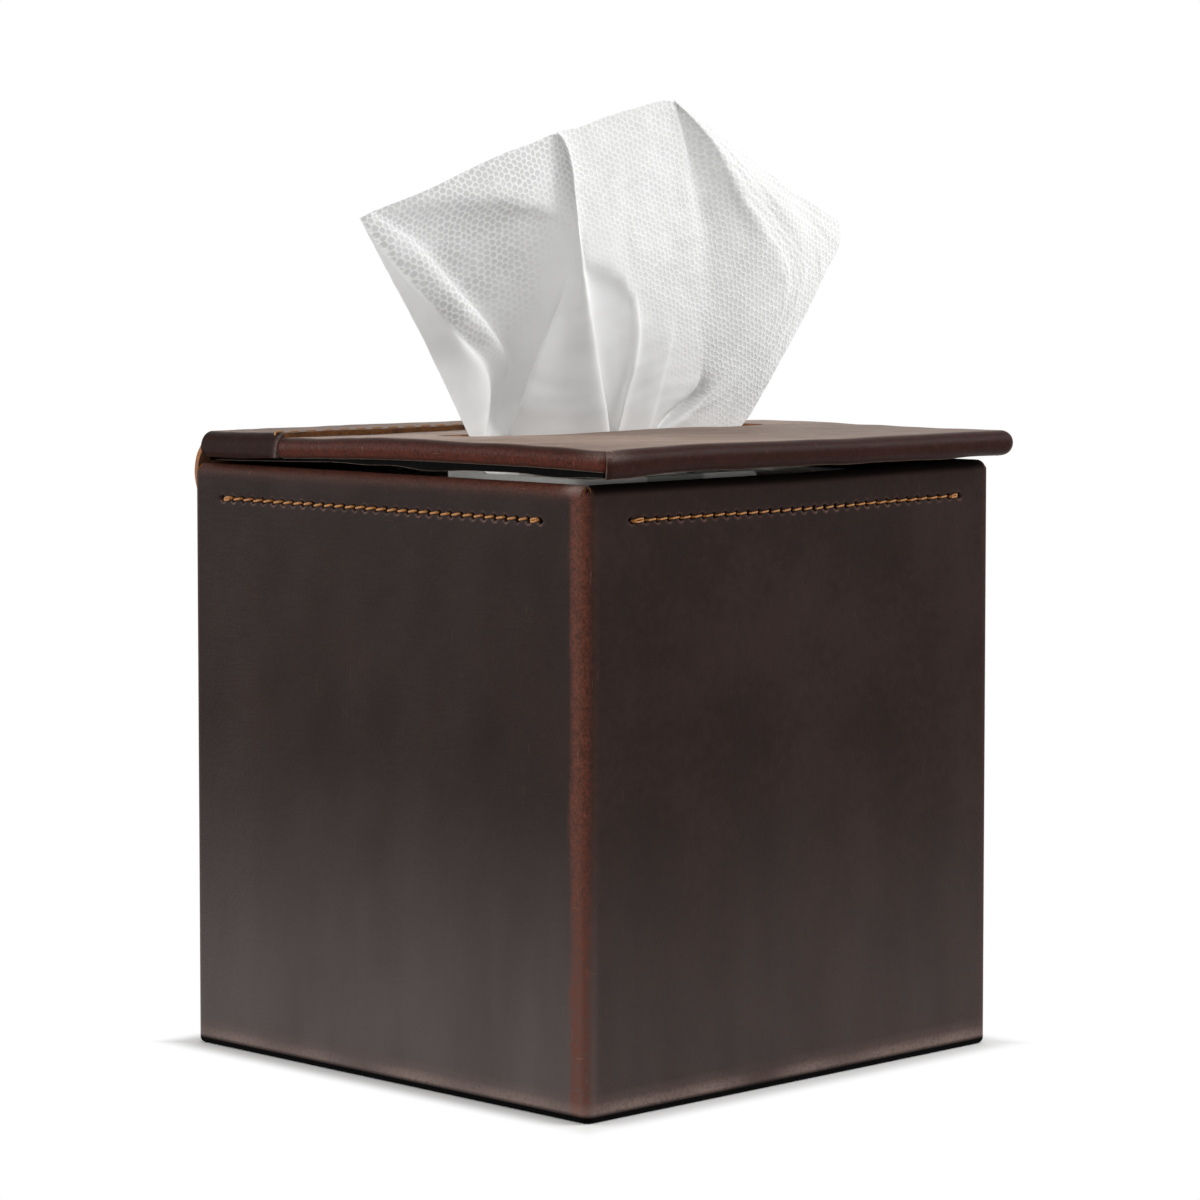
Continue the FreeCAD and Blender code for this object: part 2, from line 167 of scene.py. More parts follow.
def face_outward(mesh, top=None):
    """Turn the faces outward; an open shell's faces above the height `top`, in metres, turn upward."""
    shell = bmesh.new()
    shell.from_mesh(mesh)
    bmesh.ops.recalc_face_normals(shell, faces=shell.faces)
    if top and sum(f.normal.z * f.calc_area() for f in shell.faces if f.calc_center_median().z > top) < 0:
        bmesh.ops.reverse_faces(shell, faces=shell.faces)
    shell.to_mesh(mesh)
    shell.free()


def make_piece(name, points, faces, materials, face_materials=None, values=None, closed=True, sharp=40):
    """A mesh object from millimetre points; `values` are named numbers at its points for the materials."""
    mesh = bpy.data.meshes.new(name)
    mesh.from_pydata((np.asarray(points).reshape(-1, 3) * MM).tolist(), [], [list(face) for face in faces])
    for material in materials:
        mesh.materials.append(material)
    if face_materials is not None:
        mesh.polygons.foreach_set("material_index", np.asarray(face_materials, np.int32))
    for key, numbers in (values or {}).items():
        layer = mesh.attributes.new(key, "FLOAT", "POINT")
        layer.data.foreach_set("value", np.ravel(numbers).astype(np.float32))
    if closed:
        face_outward(mesh)
    mesh.shade_smooth()
    mesh.set_sharp_from_angle(angle=math.radians(sharp))
    piece = bpy.data.objects.new(name, mesh)
    bpy.context.scene.collection.objects.link(piece)
    return piece


def thicken(piece, thickness, offset=-1.0, back=1, rim=2, even=True):
    """Give a sheet its thickness, with the second material behind it and the third round its edge."""
    solid = piece.modifiers.new("thickness", "SOLIDIFY")
    solid.thickness = thickness * MM
    solid.offset = offset
    solid.use_even_offset = even
    solid.material_offset = back
    solid.material_offset_rim = rim
    graph = bpy.context.evaluated_depsgraph_get()
    mesh = bpy.data.meshes.new_from_object(piece.evaluated_get(graph), depsgraph=graph)
    piece.modifiers.clear()
    piece.data = mesh
    mesh.set_sharp_from_angle(angle=math.radians(40))


def stand_for(piece, node, body):
    """The piece takes a CAD node's place and rides on its body, if it is given one."""
    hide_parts(node)
    if body:
        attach(piece, body)


# ---- materials

class Graph:
    """The nodes of a new material, or of the world, with short calls for the kinds used here."""

    def __init__(self, name="", world=None):
        self.material = world or bpy.data.materials.new(name)
        self.material.use_nodes = True
        self.nodes = self.material.node_tree.nodes
        self.links = self.material.node_tree.links
        self.surface = self.nodes.get("Principled BSDF")

    def node(self, kind, inputs=(), **settings):
        made = self.nodes.new(kind)
        for key, value in settings.items():
            setattr(made, key, value)
        for key, value in dict(inputs).items():
            self.feed(made.inputs[key], value)
        return made

    def feed(self, socket, value):
        """Link a socket to another's output, or set it to a number, a vector or a colour's code."""
        if isinstance(value, bpy.types.NodeSocket):
            self.links.new(value, socket)
        else:
            socket.default_value = colour(value) if isinstance(value, str) else value

    def millimetres(self, stretch=(1, 1, 1)):
        """The place on the object in millimetres, stretched per axis."""
        place = self.node("ShaderNodeTexCoord").outputs["Object"]
        scale = [1000 * s for s in stretch]
        return self.node("ShaderNodeMapping", {"Vector": place, "Scale": scale}).outputs[0]

    def noise(self, place, scale, detail=3.0, roughness=0.55):
        made = self.node("ShaderNodeTexNoise", {"Vector": place, "Scale": scale, "Detail": detail,
                                                "Roughness": roughness})
        return made.outputs["Fac"]

    def cells(self, place, scale, feature="F1", randomness=1.0):
        made = self.node("ShaderNodeTexVoronoi", {"Vector": place, "Scale": scale, "Randomness": randomness},
                         feature=feature)
        return made.outputs["Distance"]

    def math(self, operation, a, b=0.0, c=0.0, clamp=False):
        made = self.node("ShaderNodeMath", {0: a, 1: b, 2: c}, operation=operation, use_clamp=clamp)
        return made.outputs[0]

    def plus(self, a, b, clamp=False):
        return self.math("ADD", a, b, clamp=clamp)

    def times(self, a, b, clamp=False):
        return self.math("MULTIPLY", a, b, clamp=clamp)

    def vector(self, operation, a, b):
        return self.node("ShaderNodeVectorMath", {0: a, 1: b}, operation=operation).outputs

    def value(self, name):
        return self.node("ShaderNodeAttribute", attribute_name=name).outputs["Fac"]

    def span(self, value, low, high, to_low=0.0, to_high=1.0):
        made = self.node("ShaderNodeMapRange", {"Value": value, "From Min": low, "From Max": high,
                                                "To Min": to_low, "To Max": to_high},
                         interpolation_type="SMOOTHSTEP")
        return made.outputs["Result"]

    def blend(self, factor, a, b):
        made = self.node("ShaderNodeMix", data_type="RGBA", blend_type="MIX")
        for socket, value in ((made.inputs[0], factor), (made.inputs[6], a), (made.inputs[7], b)):
            self.feed(socket, value)
        return made.outputs[2]

    def bump(self, height, depth, strength=1.0, normal=None):
        inputs = {"Height": height, "Distance": depth * MM, "Strength": strength}
        if normal is not None:
            inputs["Normal"] = normal
        return self.node("ShaderNodeBump", inputs).outputs["Normal"]

    def shade(self, **inputs):
        for key, value in inputs.items():
            self.feed(self.surface.inputs[key.replace("_", " ")], value)


def colour(code):
    """The linear colour of a #rrggbb code."""
    parts = [int(code[i:i + 2], 16) / 255 for i in (1, 3, 5)]
    return [c / 12.92 if c < 0.04045 else ((c + 0.055) / 1.055) ** 2.4 for c in parts] + [1.0]


def leather_material(name, base, worn, gloss=0.5, specular=0.3, foot=0.0, sheen=0.0):
    """Waxed dark leather: faint clouds, fine grain, red-brown wear on its folds, a few pale scratches."""
    g = Graph(name)
    place = g.millimetres()
    clouds = g.noise(place, 0.04, 4.0, 0.6)
    mottle = g.noise(place, 0.45, 4.0, 0.65)
    specks = g.noise(place, 1.7, 3.0, 0.6)
    tone = g.plus(g.times(clouds, 0.6), g.times(mottle, 0.4))
    tint = colour(base)
    dark, light = [0.78 * c for c in tint[:3]] + [1], [1.25 * c for c in tint[:3]] + [1]
    skin = g.blend(g.span(tone, 0.34, 0.66), dark, light)
    if foot:
        # painted reflection of the floor: a lighter grey towards the foot, above all on the left wall
        parts = g.node("ShaderNodeSeparateXYZ", {"Vector": place}).outputs
        rising = g.span(parts["Z"], 82.0, -8.0)
        toward = g.span(parts["X"], -61.0, -65.0, 0.42, 1.0)
        streaks = g.span(g.noise(g.millimetres((0.25, 0.25, 0.05)), 0.3, 3.0), 0.3, 0.7, 0.88, 1.1)
        painted_floor_light = g.times(g.times(rising, toward), g.times(streaks, foot))
        skin = g.blend(painted_floor_light, skin, "#6f6664")
    speckle = g.plus(g.span(specks, 0.3, 0.7, 0.4, 1.05), g.span(mottle, 0.35, 0.65, -0.12, 0.12))
    wear = g.times(g.value("wear"), speckle, clamp=True)
    skin = g.blend(wear, skin, worn)
    long_marks = g.noise(g.millimetres((0.2, 0.2, 2.2)), 0.7, 3.0, 0.6)
    cross_marks = g.noise(g.millimetres((1.3, 1.3, 0.16)), 0.9, 3.0, 0.6)
    marks = g.math("MAXIMUM", g.span(long_marks, 0.66, 0.76), g.span(cross_marks, 0.66, 0.74))
    seen = g.plus(g.times(g.value("wear"), 0.5), 0.05)
    skin = g.blend(g.times(marks, seen), skin, "#8e6a5c")
    # the pale value: scuffs, and painted highlights and glints on the walls' foot and front fold, the stitch
    # lips and the lid's front left corner
    pale = g.times(g.value("pale"), g.span(specks, 0.25, 0.6, 0.45, 1.0), clamp=True)
    skin = g.blend(pale, skin, "#a18b83")
    # painted shade: the hole value blacks out the stitch holes, the front wall's rim under the lid, the foot
    # where it meets the floor and the lid's turned-under side layer
    skin = g.blend(g.value("hole"), skin, "#020101")
    pores = g.span(g.cells(place, 2.1), 0.0, 0.45)
    # round pores, and fine creases between wavering cells
    bent = g.node("ShaderNodeTexNoise", {"Vector": place, "Scale": 0.9}).outputs["Color"]
    bent = g.vector("ADD", place, bent)[0]
    creases = g.span(g.cells(bent, 0.8, "DISTANCE_TO_EDGE"), 0.0, 0.16)
    grain = g.plus(g.times(pores, 0.45), g.times(creases, 0.4))
    grain = g.plus(grain, g.times(specks, 0.5))
    normal = g.bump(grain, 0.05, 0.7)
    normal = g.bump(clouds, 0.9, 0.25, normal)
    rough = g.plus(g.times(mottle, 0.16), gloss - 0.18)
    rough = g.plus(g.times(long_marks, 0.2), rough)
    rough = g.plus(rough, g.times(g.value("hole"), 0.4), clamp=True)
    g.shade(Base_Color=skin, Roughness=rough, Normal=normal, Specular_IOR_Level=specular, Sheen_Weight=sheen,
            Sheen_Roughness=0.2, Sheen_Tint=(1.0, 0.74, 0.6, 1.0))
    return g.material


def fibrous_material(name, fibres, tones, spread, rough, relief, patches=None):
    """Two tones along a material's fibres, and a third in patches.

    fibres: how their noise is stretched, then its scale, detail and roughness. spread: where the noise
    goes from the first tone to the second. rough: least and most roughness. relief: a bump's depth in
    millimetres and its strength. patches: their noise's scale and detail, where it starts and ends, and
    how far they change the tone.
    """
    g = Graph(name)
    stretch, *look = fibres
    grain = g.noise(g.millimetres(stretch), *look)
    tone = g.blend(g.span(grain, *spread), tones[0], tones[1])
    if patches:
        scale, detail, first, last, most = patches
        patch = g.span(g.noise(g.millimetres(), scale, detail), first, last, 0.0, most)
        tone = g.blend(patch, tone, tones[2])
    g.shade(Base_Color=tone, Roughness=g.span(grain, 0.2, 0.8, *rough), Normal=g.bump(grain, *relief))
    return g.material


def suede_material():
    """The flesh side of the leather."""
    g = Graph("leather_flesh_side")
    nap = g.noise(g.millimetres(), 1.8, 6.0, 0.75)
    clouds = g.noise(g.millimetres(), 0.08, 3.0)
    tone = g.blend(g.span(clouds, 0.3, 0.7), "#5d4030", "#7a583f")
    tone = g.blend(g.times(nap, 0.35), tone, "#3c281c")
    g.shade(Base_Color=tone, Roughness=g.span(nap, 0.2, 0.8, 0.85, 1.0), Normal=g.bump(nap, 0.3, 0.6))
    return g.material


def lining_material():
    """Thin brown pigskin lining under the lid, with its scattered pores."""
    g = Graph("lid_lining_skin")
    place = g.millimetres()
    pores = g.span(g.cells(place, 0.75, randomness=0.9), 0.02, 0.2)
    nap = g.noise(place, 2.2, 5.0, 0.7)
    tone = g.blend(g.span(g.noise(place, 0.07, 3.0), 0.3, 0.7), "#6a4a36", "#7f5c45")
    tone = g.blend(g.math("SUBTRACT", 1.0, pores), tone, "#3f2a1f")
    height = g.plus(pores, g.times(nap, 0.5))
    g.shade(Base_Color=tone, Roughness=g.span(nap, 0.2, 0.8, 0.7, 0.9), Normal=g.bump(height, 0.12, 0.6))
    return g.material


def card_material():
    """Coated carton card: off-white, with a printed grey-green field that stops short of the edges."""
    g = Graph("carton_card")
    place = g.millimetres()
    fibres = g.noise(place, 2.6, 5.0, 0.7)
    clouds = g.noise(place, 0.05, 2.0)
    tone = g.blend(g.span(clouds, 0.35, 0.65), "#ecebe6", "#f5f5f1")
    x = g.node("ShaderNodeSeparateXYZ", {"Vector": place}).outputs["X"]
    field = g.times(g.span(x, -42.0, -40.5), g.span(x, -23.0, -24.5))
    tone = g.blend(g.times(field, 0.75), tone, "#7f8880")
    tone = g.blend(g.times(fibres, 0.15), tone, "#a9a7a0")
    g.shade(Base_Color=tone, Roughness=g.span(fibres, 0.2, 0.8, 0.5, 0.65), Normal=g.bump(fibres, 0.05, 0.4))
    return g.material


def tissue_material(name, embossed):
    """Soft white paper; the raised tissue carries a net of embossed cells, greyed by painted shade, that
    fades out near the slot.
    """
    g = Graph(name)
    place = g.millimetres()
    fibres = g.noise(place, 2.4, 6.0, 0.75)
    shade = g.noise(place, 0.09, 3.0)
    tone = g.blend(g.span(shade, 0.3, 0.7), "#f1f1f0", "#f8f8f8")
    height = g.times(fibres, 0.25)
    if embossed:
        sheet = g.node("ShaderNodeUVMap", uv_map="sheet").outputs["UV"]
        for scale, far in ((0.35, 1.0), (1.1, 0.42)):
            wander = g.node("ShaderNodeTexNoise", {"Vector": sheet, "Scale": scale, "Detail": 1.0})
            wander = g.node("ShaderNodeVectorMath", {0: wander.outputs["Color"], "Scale": far},
                            operation="SCALE").outputs[0]
            sheet = g.vector("ADD", sheet, wander)[0]
        # three waves at sixty degrees make a net of round dots, one apart
        waves = []
        for turn in (30, 90, 150):
            way = [4 * math.pi / math.sqrt(3) * f(math.radians(turn)) for f in (math.cos, math.sin)] + [0]
            waves.append(g.math("COSINE", g.vector("DOT_PRODUCT", sheet, way)["Value"]))
        dip = g.span(g.plus(g.plus(waves[0], waves[1]), waves[2]), -1.2, 0.3)
        patches = g.span(g.noise(place, 0.12, 2.0), 0.35, 0.65, 0.7, 1.0)
        cells = g.times(dip, g.value("emboss"))
        # painted shade: the embossed dimples are greyed, less to the right of the cone
        grey = g.times(g.times(cells, patches), g.value("painted_cell_shade"))
        tone = g.blend(grey, tone, "#b3b4b6")
        height = g.math("SUBTRACT", height, g.times(cells, 0.6))
    g.shade(Base_Color=tone, Roughness=g.span(fibres, 0.2, 0.8, 0.85, 1.0), Normal=g.bump(height, 0.2, 0.8),
            Specular_IOR_Level=0.15, Subsurface_Weight=0.3, Subsurface_Radius=(1.0, 1.0, 1.0),
            Subsurface_Scale=0.0008)
    return g.material


WALL_LEATHER = leather_material("box_leather", "#271b18", "#65392c", gloss=0.55, specular=0.07, foot=0.55)
LID_LEATHER = leather_material("lid_leather", "#1f110e", "#602c1e", gloss=0.42, specular=0.05, sheen=0.64)
FLAP_LEATHER = leather_material("hinge_leather", "#1c0e0b", "#4a2418", gloss=0.48, specular=0.03, sheen=0.4)
# vegetable-tanned leather where it is cut, burnished dark in places
RAW_EDGE = fibrous_material("raw_leather_edge", ((1, 1, 3), 1.6, 6.0, 0.7), ("#6e3f20", "#b87840", "#3e2113"),
                            (0.32, 0.68), (0.65, 0.9), (0.25, 0.8), (0.25, 3.0, 0.5, 0.72, 0.55))
SUEDE = suede_material()
# waxed two-ply thread, golden tan, darker where wax and dirt gather
THREAD = fibrous_material("waxed_thread", ((1, 1, 1), 4.0, 5.0, 0.7), ("#88511f", "#d08e42", "#a5692c"),
                          (0.3, 0.7), (0.42, 0.6), (0.12, 0.6), (0.35, 2.0, 0.4, 0.7, 0.4))
LINING = lining_material()
BOARD = fibrous_material("grey_board", ((1, 0.3, 1), 1.4, 6.0, 0.75), ("#77746e", "#97938b"),
                         (0.3, 0.7), (0.8, 0.95), (0.1, 0.5))
CARD = card_material()
TISSUE = tissue_material("embossed_tissue", True)
PLAIN_TISSUE = tissue_material("folded_tissue", False)


# ---- the box

def outline(low, high, radius, pitch, corner_steps, columns=None, ring=True):
    """Once round a rounded rectangle from the middle of its back, anticlockwise from above.

    Gives each point, its outward normal, the side it is on and how far along that side, from its middle.
    A side is 0 to 3 for back, left, front and right, and 4 to 7 for the corner after it. `columns` may
    give the places along each side, in place of an even pitch. A ring leaves out its last point, which
    is its first again.
    """
    (x0, y0), (x1, y1) = low, high
    middle = np.array([(x0 + x1) / 2, (y0 + y1) / 2])
    spots, normals, sides, along = [], [], [], []

    def add(spot, normal, side, place):
        for values, value in zip((spots, normals, sides, along), (spot, normal, side, place)):
            values.append(value)

    def straight(side, start, end, normal):
        start, end = np.array(start), np.array(end)
        way = (end - start) / np.linalg.norm(end - start)
        first, last = float((start - middle) @ way), float((end - middle) @ way)
        places = np.linspace(first, last, max(2, int(round((last - first) / pitch)) + 1))
        if columns:
            inner = columns(side)
            places = [first, *inner[(inner > first + 0.1) & (inner < last - 0.1)], last]
        for place in places:
            add(start + way * (place - first), normal, side, place)

    def corner(number, centre, first_angle):
        for t in np.linspace(0, 1, corner_steps + 2)[1:-1]:
            angle = first_angle + t * math.pi / 2
            normal = (math.cos(angle), math.sin(angle))
            add(np.array(centre) + radius * np.array(normal), normal, 4 + number, t)

    straight(0, (middle[0], y1), (x0 + radius, y1), (0, 1))
    corner(0, (x0 + radius, y1 - radius), math.pi / 2)
    straight(1, (x0, y1 - radius), (x0, y0 + radius), (-1, 0))
    corner(1, (x0 + radius, y0 + radius), math.pi)
    straight(2, (x0 + radius, y0), (x1 - radius, y0), (0, -1))
    corner(2, (x1 - radius, y0 + radius), 1.5 * math.pi)
    straight(3, (x1, y0 + radius), (x1, y1 - radius), (1, 0))
    corner(3, (x1 - radius, y1 - radius), 0.0)
    straight(0, (x1 - radius, y1), (middle[0], y1), (0, 1))
    end = -1 if ring else None
    return np.array(spots)[:end], np.array(normals, float)[:end], np.array(sides)[:end], np.array(along)[:end]


def arc(centre, radius, first, last, count):
    """Points round an arc in a wall's section, angles in degrees."""
    angles = np.radians(np.linspace(first, last, count))
    return [(centre[0] + radius * math.cos(a), centre[1] + radius * math.sin(a)) for a in angles]


def wall_section(hem):
    """Inset and height once round the wall's section, with the kind of each row.

    Where the hem is slit at a corner the same rows run over a single cut layer.
    """
    inner, low_hem = 2 * LEATHER, RIM - HEM_DEPTH
    rows = [(FLANGE, 0.0, "under"), (9.0, 0.0, "under"), (4.0, 0.0, "under")]
    rows += [(d, z, "face") for d, z in arc((BOTTOM_RADIUS, BOTTOM_RADIUS), BOTTOM_RADIUS, 270, 180, 6)]
    top = RIM - RIM_RADIUS
    near_row = [STITCH_Z + z for z in (-3.2, -2.0, -1.4, *np.linspace(-1.0, 1.0, 9), 1.4, 2.0)]
    heights = [2.2, 3.2, 4.5, 6.5, 9.0, *np.linspace(14, 122, 18), *near_row,
               *np.linspace(STITCH_Z + 2.9, top, 5)]
    rows += [(0.0, z, "face") for z in heights]
    if hem:
        rows += [(d, z, "fold") for d, z in arc((RIM_RADIUS, top), RIM_RADIUS, 180, 90, 8)[1:]]
        rows += [(d, z, "fold") for d, z in arc((inner - RIM_RADIUS, top), RIM_RADIUS, 90, 0, 7)]
        rows += [(inner, z, "hem") for z in np.linspace(top - 1, low_hem + 0.5, 5)]
        rows += [(inner - 0.5, low_hem, "cut"), (LEATHER + 0.02, low_hem, "cut")]
    else:
        rounding = 0.8
        rows += [(d, z, "fold") for d, z in arc((rounding, SLIT_Z - rounding), rounding, 180, 90, 8)[1:]]
        rows += [(d, SLIT_Z - 0.1, "cut") for d in np.linspace(1.0, LEATHER - 0.3, 5)]
        rows += [(LEATHER, z, "inside") for z in np.linspace(SLIT_Z - 0.5, low_hem, 9)]
    rows += [(LEATHER, z, "inside") for z in np.linspace(low_hem - 1, LEATHER + 0.5, 6)]
    rows += [(LEATHER + 0.5, LEATHER, "inside"), (9.0, LEATHER, "inside"), (FLANGE, LEATHER, "inside")]
    return rows


def hole_spots(side):
    """Where the stitch holes lie along a wall, from its middle."""
    spots = np.arange(-15, 16) * STITCH_PITCH + {0: 0.0, 1: -1.8, 2: 1.5, 3: 0.6}[side]
    if side == 2:
        spots[0] -= 0.7
    return spots


def wall_columns(side):
    """Places for the mesh's columns along a wall, close together at each stitch hole."""
    holes = hole_spots(side)
    steps = np.array([-0.5, -0.25, 0.0, 0.25, 0.5, 1.05, 1.75, 2.45])
    before, after = np.arange(holes[0] - 1.2, -HALF, -0.9)[::-1], np.arange(holes[-1] + 3.3, HALF, 0.9)
    return np.sort(np.concatenate([(holes[:, None] + steps).ravel(), before, after]))


def stitch_holes(along, rise, holes):
    """Depth of the stitch holes, 0 to 1, and of the lips raised round them, near one wall's row; the lips are
    strongest where their painted glints fall.
    """
    depth = np.zeros(rise.shape)
    lips = np.zeros(rise.shape)
    drawn = np.random.default_rng(int(1000 + 10 * holes[0])).uniform(0.25, 1.0, len(holes))
    for spot, strength in zip(holes, drawn):
        near = along - spot
        across = near * 0.86 + rise * 0.5
        down = rise * 0.86 - near * 0.5
        reach = np.hypot(across / 0.46, down / 0.66)
        depth += smooth(1.5 - reach)
        # each lip is strongest on the side where its painted glint falls
        glint_side = 0.3 + 0.7 * smooth((0.3 - across - 0.5 * down) / 0.8)
        lips += strength * glint_side * bell((reach - 1.65) / 0.36)
    return depth, lips


def rise_at(x, y, z):
    """How much higher the used box stands towards the top of its right-hand front corner."""
    return 0.8 * smooth((z - 90) / 40) * smooth((x + 10) / 75) * smooth(-y / 65)


def wall_wear(height, sides, along, run):
    """Red wear down the walls' upright folds, along the rim and round the foot; pale scuffs and painted
    highlight round the foot, and a painted highlight atop the left wall's front fold.
    """
    wander = 0.25 * swell(height, run * 0, 9, 71)
    left = (sides == 1) * 1.0
    edge = HALF - along + wander                 # along the left wall, from its front fold
    band = left * 0.94 * smooth((5.7 - edge) / 1.3) * (1 - 0.15 * bell((edge - 2.4) / 0.6))
    band += (sides == 5) * (0.95 - 0.85 * smooth((along - 0.3) / 0.65))
    for side in range(4):
        near = HALF - CORNER_RADIUS - np.abs(along)
        band += (sides == side) * (0.12 if side != 1 else 0.0) * smooth(1 - near / 1.6)
    band += ((sides == 4) | (sides > 5)) * 0.35 * (1 - np.abs(2 * along - 1))
    shares = [0.62 + 0.38 * smooth((along + 10) / 70), 1 - 0.8 * smooth((along - 0.4) / 0.5), 0.16]
    share = np.select([sides == 1, sides == 5, sides == 2], shares, 0.45)
    rim = share * bell((height - RIM + 0.3) / 1.9)
    foot = 0.14 * bell((height - 3.0) / 2.5)
    # pale band along the foot: part scuffs, part painted highlight where the rounded foot catches the floor's
    # light
    pale = 0.5 * bell((height - 2.4) / 1.6) * (0.75 + 0.25 * swell(run, height * 0, 25, 72))
    # painted highlight at the top of the left wall's front fold
    pale += left * 0.75 * np.exp(-((edge - 4.5) / 3.2) ** 2 - ((height - RIM + 0.5) / 1.1) ** 2)
    return np.clip(np.maximum(band, rim) + foot, 0, 1), np.clip(pale, 0, 1)


def make_walls():
    """The strip of leather folded round the box, turned in at the rim and butted at the back."""
    spots, normals, sides, along = outline((-HALF, -HALF), (HALF, HALF), CORNER_RADIUS, STITCH_PITCH, 11,
                                           wall_columns, ring=False)
    spots[0, 0], spots[-1, 0] = -0.2, 0.2                                 # the butt seam's narrow gap
    hemmed = (sides < 4) | (np.abs(along - np.where(sides == 4, 0.8, 0.5)) > 0.17)    # slit at the corners
    order = []
    for j in range(len(spots)):
        order.append((j, hemmed[j]))
        if j + 1 < len(spots) and hemmed[j] != hemmed[j + 1]:
            order += [(j, False)] if hemmed[j] else [(j + 1, False)]
    column = np.array([j for j, hem in order])
    hem = np.array([h for j, h in order])
    spots, normals, sides, along = spots[column], normals[column], sides[column], along[column]
    with_hem, without = wall_section(True), wall_section(False)
    rows, columns = len(with_hem), len(spots)
    kinds = [row[2] for row in with_hem]
    inset, height = (np.where(hem, [[row[k]] for row in with_hem], [[row[k]] for row in without])
                     for k in (0, 1))

    # the face's own relief: slow waves, the sunk stitch row, the holes with their lips
    run = distance_along(spots)
    outside = np.array([[kind in ("face", "fold")] for kind in kinds])
    flat = (sides < 4) * smooth((HALF - CORNER_RADIUS - np.abs(along)) / 16)
    relief = (0.20 * swell(run, height, 60, 3) + 0.08 * swell(run, height, 21, 5)) * flat
    relief *= smooth(height / 12) * smooth((RIM + 1 - height) / 9)
    hole, lips, sunk = np.zeros(height.shape), np.zeros(height.shape), np.zeros(height.shape)
    for side in range(4):
        here = np.where(sides == side)[0]
        holes = hole_spots(side)
        rise = height[:, here] - STITCH_Z
        hole[:, here], lips[:, here] = stitch_holes(along[here], rise, holes)
        in_row = smooth((along[here] - holes[0] + 3) / 3) * smooth((holes[-1] + 3 - along[here]) / 3)
        sunk[:, here] = in_row * bell(rise / 1.4)
    relief += 0.17 * lips - 0.10 * sunk - 0.9 * hole
    relief = relief * outside

    # each layer follows the outline at its own inset, with its corners kept open
    corner_radius = np.maximum(CORNER_RADIUS - inset, INNER_RADIUS)
    reach = HALF - inset - corner_radius
    flat_scale = reach / (HALF - CORNER_RADIUS)
    place = []
    for axis in (0, 1):
        spot, normal = spots[:, axis], normals[:, axis]
        on_corner = np.sign(spot) * reach + normal * (corner_radius + relief)
        on_side = spot * (1 - np.abs(normal)) * flat_scale + normal * (HALF - inset + relief)
        place.append(np.where(sides >= 4, on_corner, on_side))
    x, y = place
    points = np.stack([x, y, height + rise_at(x, y, height)], -1)

    wear, pale = wall_wear(height, sides, along, run)
    painted_rim_shade = (sides == 2) * 0.85 * smooth((height - RIM + 2.6) / 1.6)    # painted shade: black along the front wall's rim, under the lid's overhang
    painted_foot_shadow = smooth((1.7 - height) / 0.4)                             # painted shadow: black where the foot turns under, down at the floor
    # painted shade: the hole value blacks out the stitch holes as well; the lips' red-brown and pale tones
    # are painted glints, paler on the left wall
    values = {"wear": wear + 0.7 * lips, "hole": hole + painted_rim_shade + painted_foot_shadow,
              "pale": pale + (0.22 + 0.2 * (sides == 1)) * lips}
    values = {key: np.clip(value, 0, 1) * outside for key, value in values.items()}

    faces = grid_faces(rows, columns, wrap_rows=True)
    slots = []
    for i in range(rows):
        after = kinds[(i + 1) % rows]
        kind = "cut" if "cut" in (kinds[i], after) else kinds[i]
        line = np.full(columns - 1, FINISH.get(kind, 0))
        if kinds[i] in ("fold", "hem", "cut"):
            first, second = without[i][2], without[(i + 1) % rows][2]
            line[~hem[:-1] & ~hem[1:]] = FINISH.get("cut" if "cut" in (first, second) else first, 0)
            line[hem[:-1] != hem[1:]] = FINISH["cut"]
        slots.append(line)
    slots = np.concatenate(slots)
    ring = np.arange(rows) * columns
    faces = [*faces.tolist(), ring.tolist(), (ring[::-1] + columns - 1).tolist()]    # with the butted ends
    slots = np.concatenate([slots, [FINISH["cut"]] * 2])
    piece = make_piece("box_walls", points, faces, [WALL_LEATHER, RAW_EDGE, SUEDE], slots, values, sharp=38)
    stand_for(piece, "wall_band", "box")


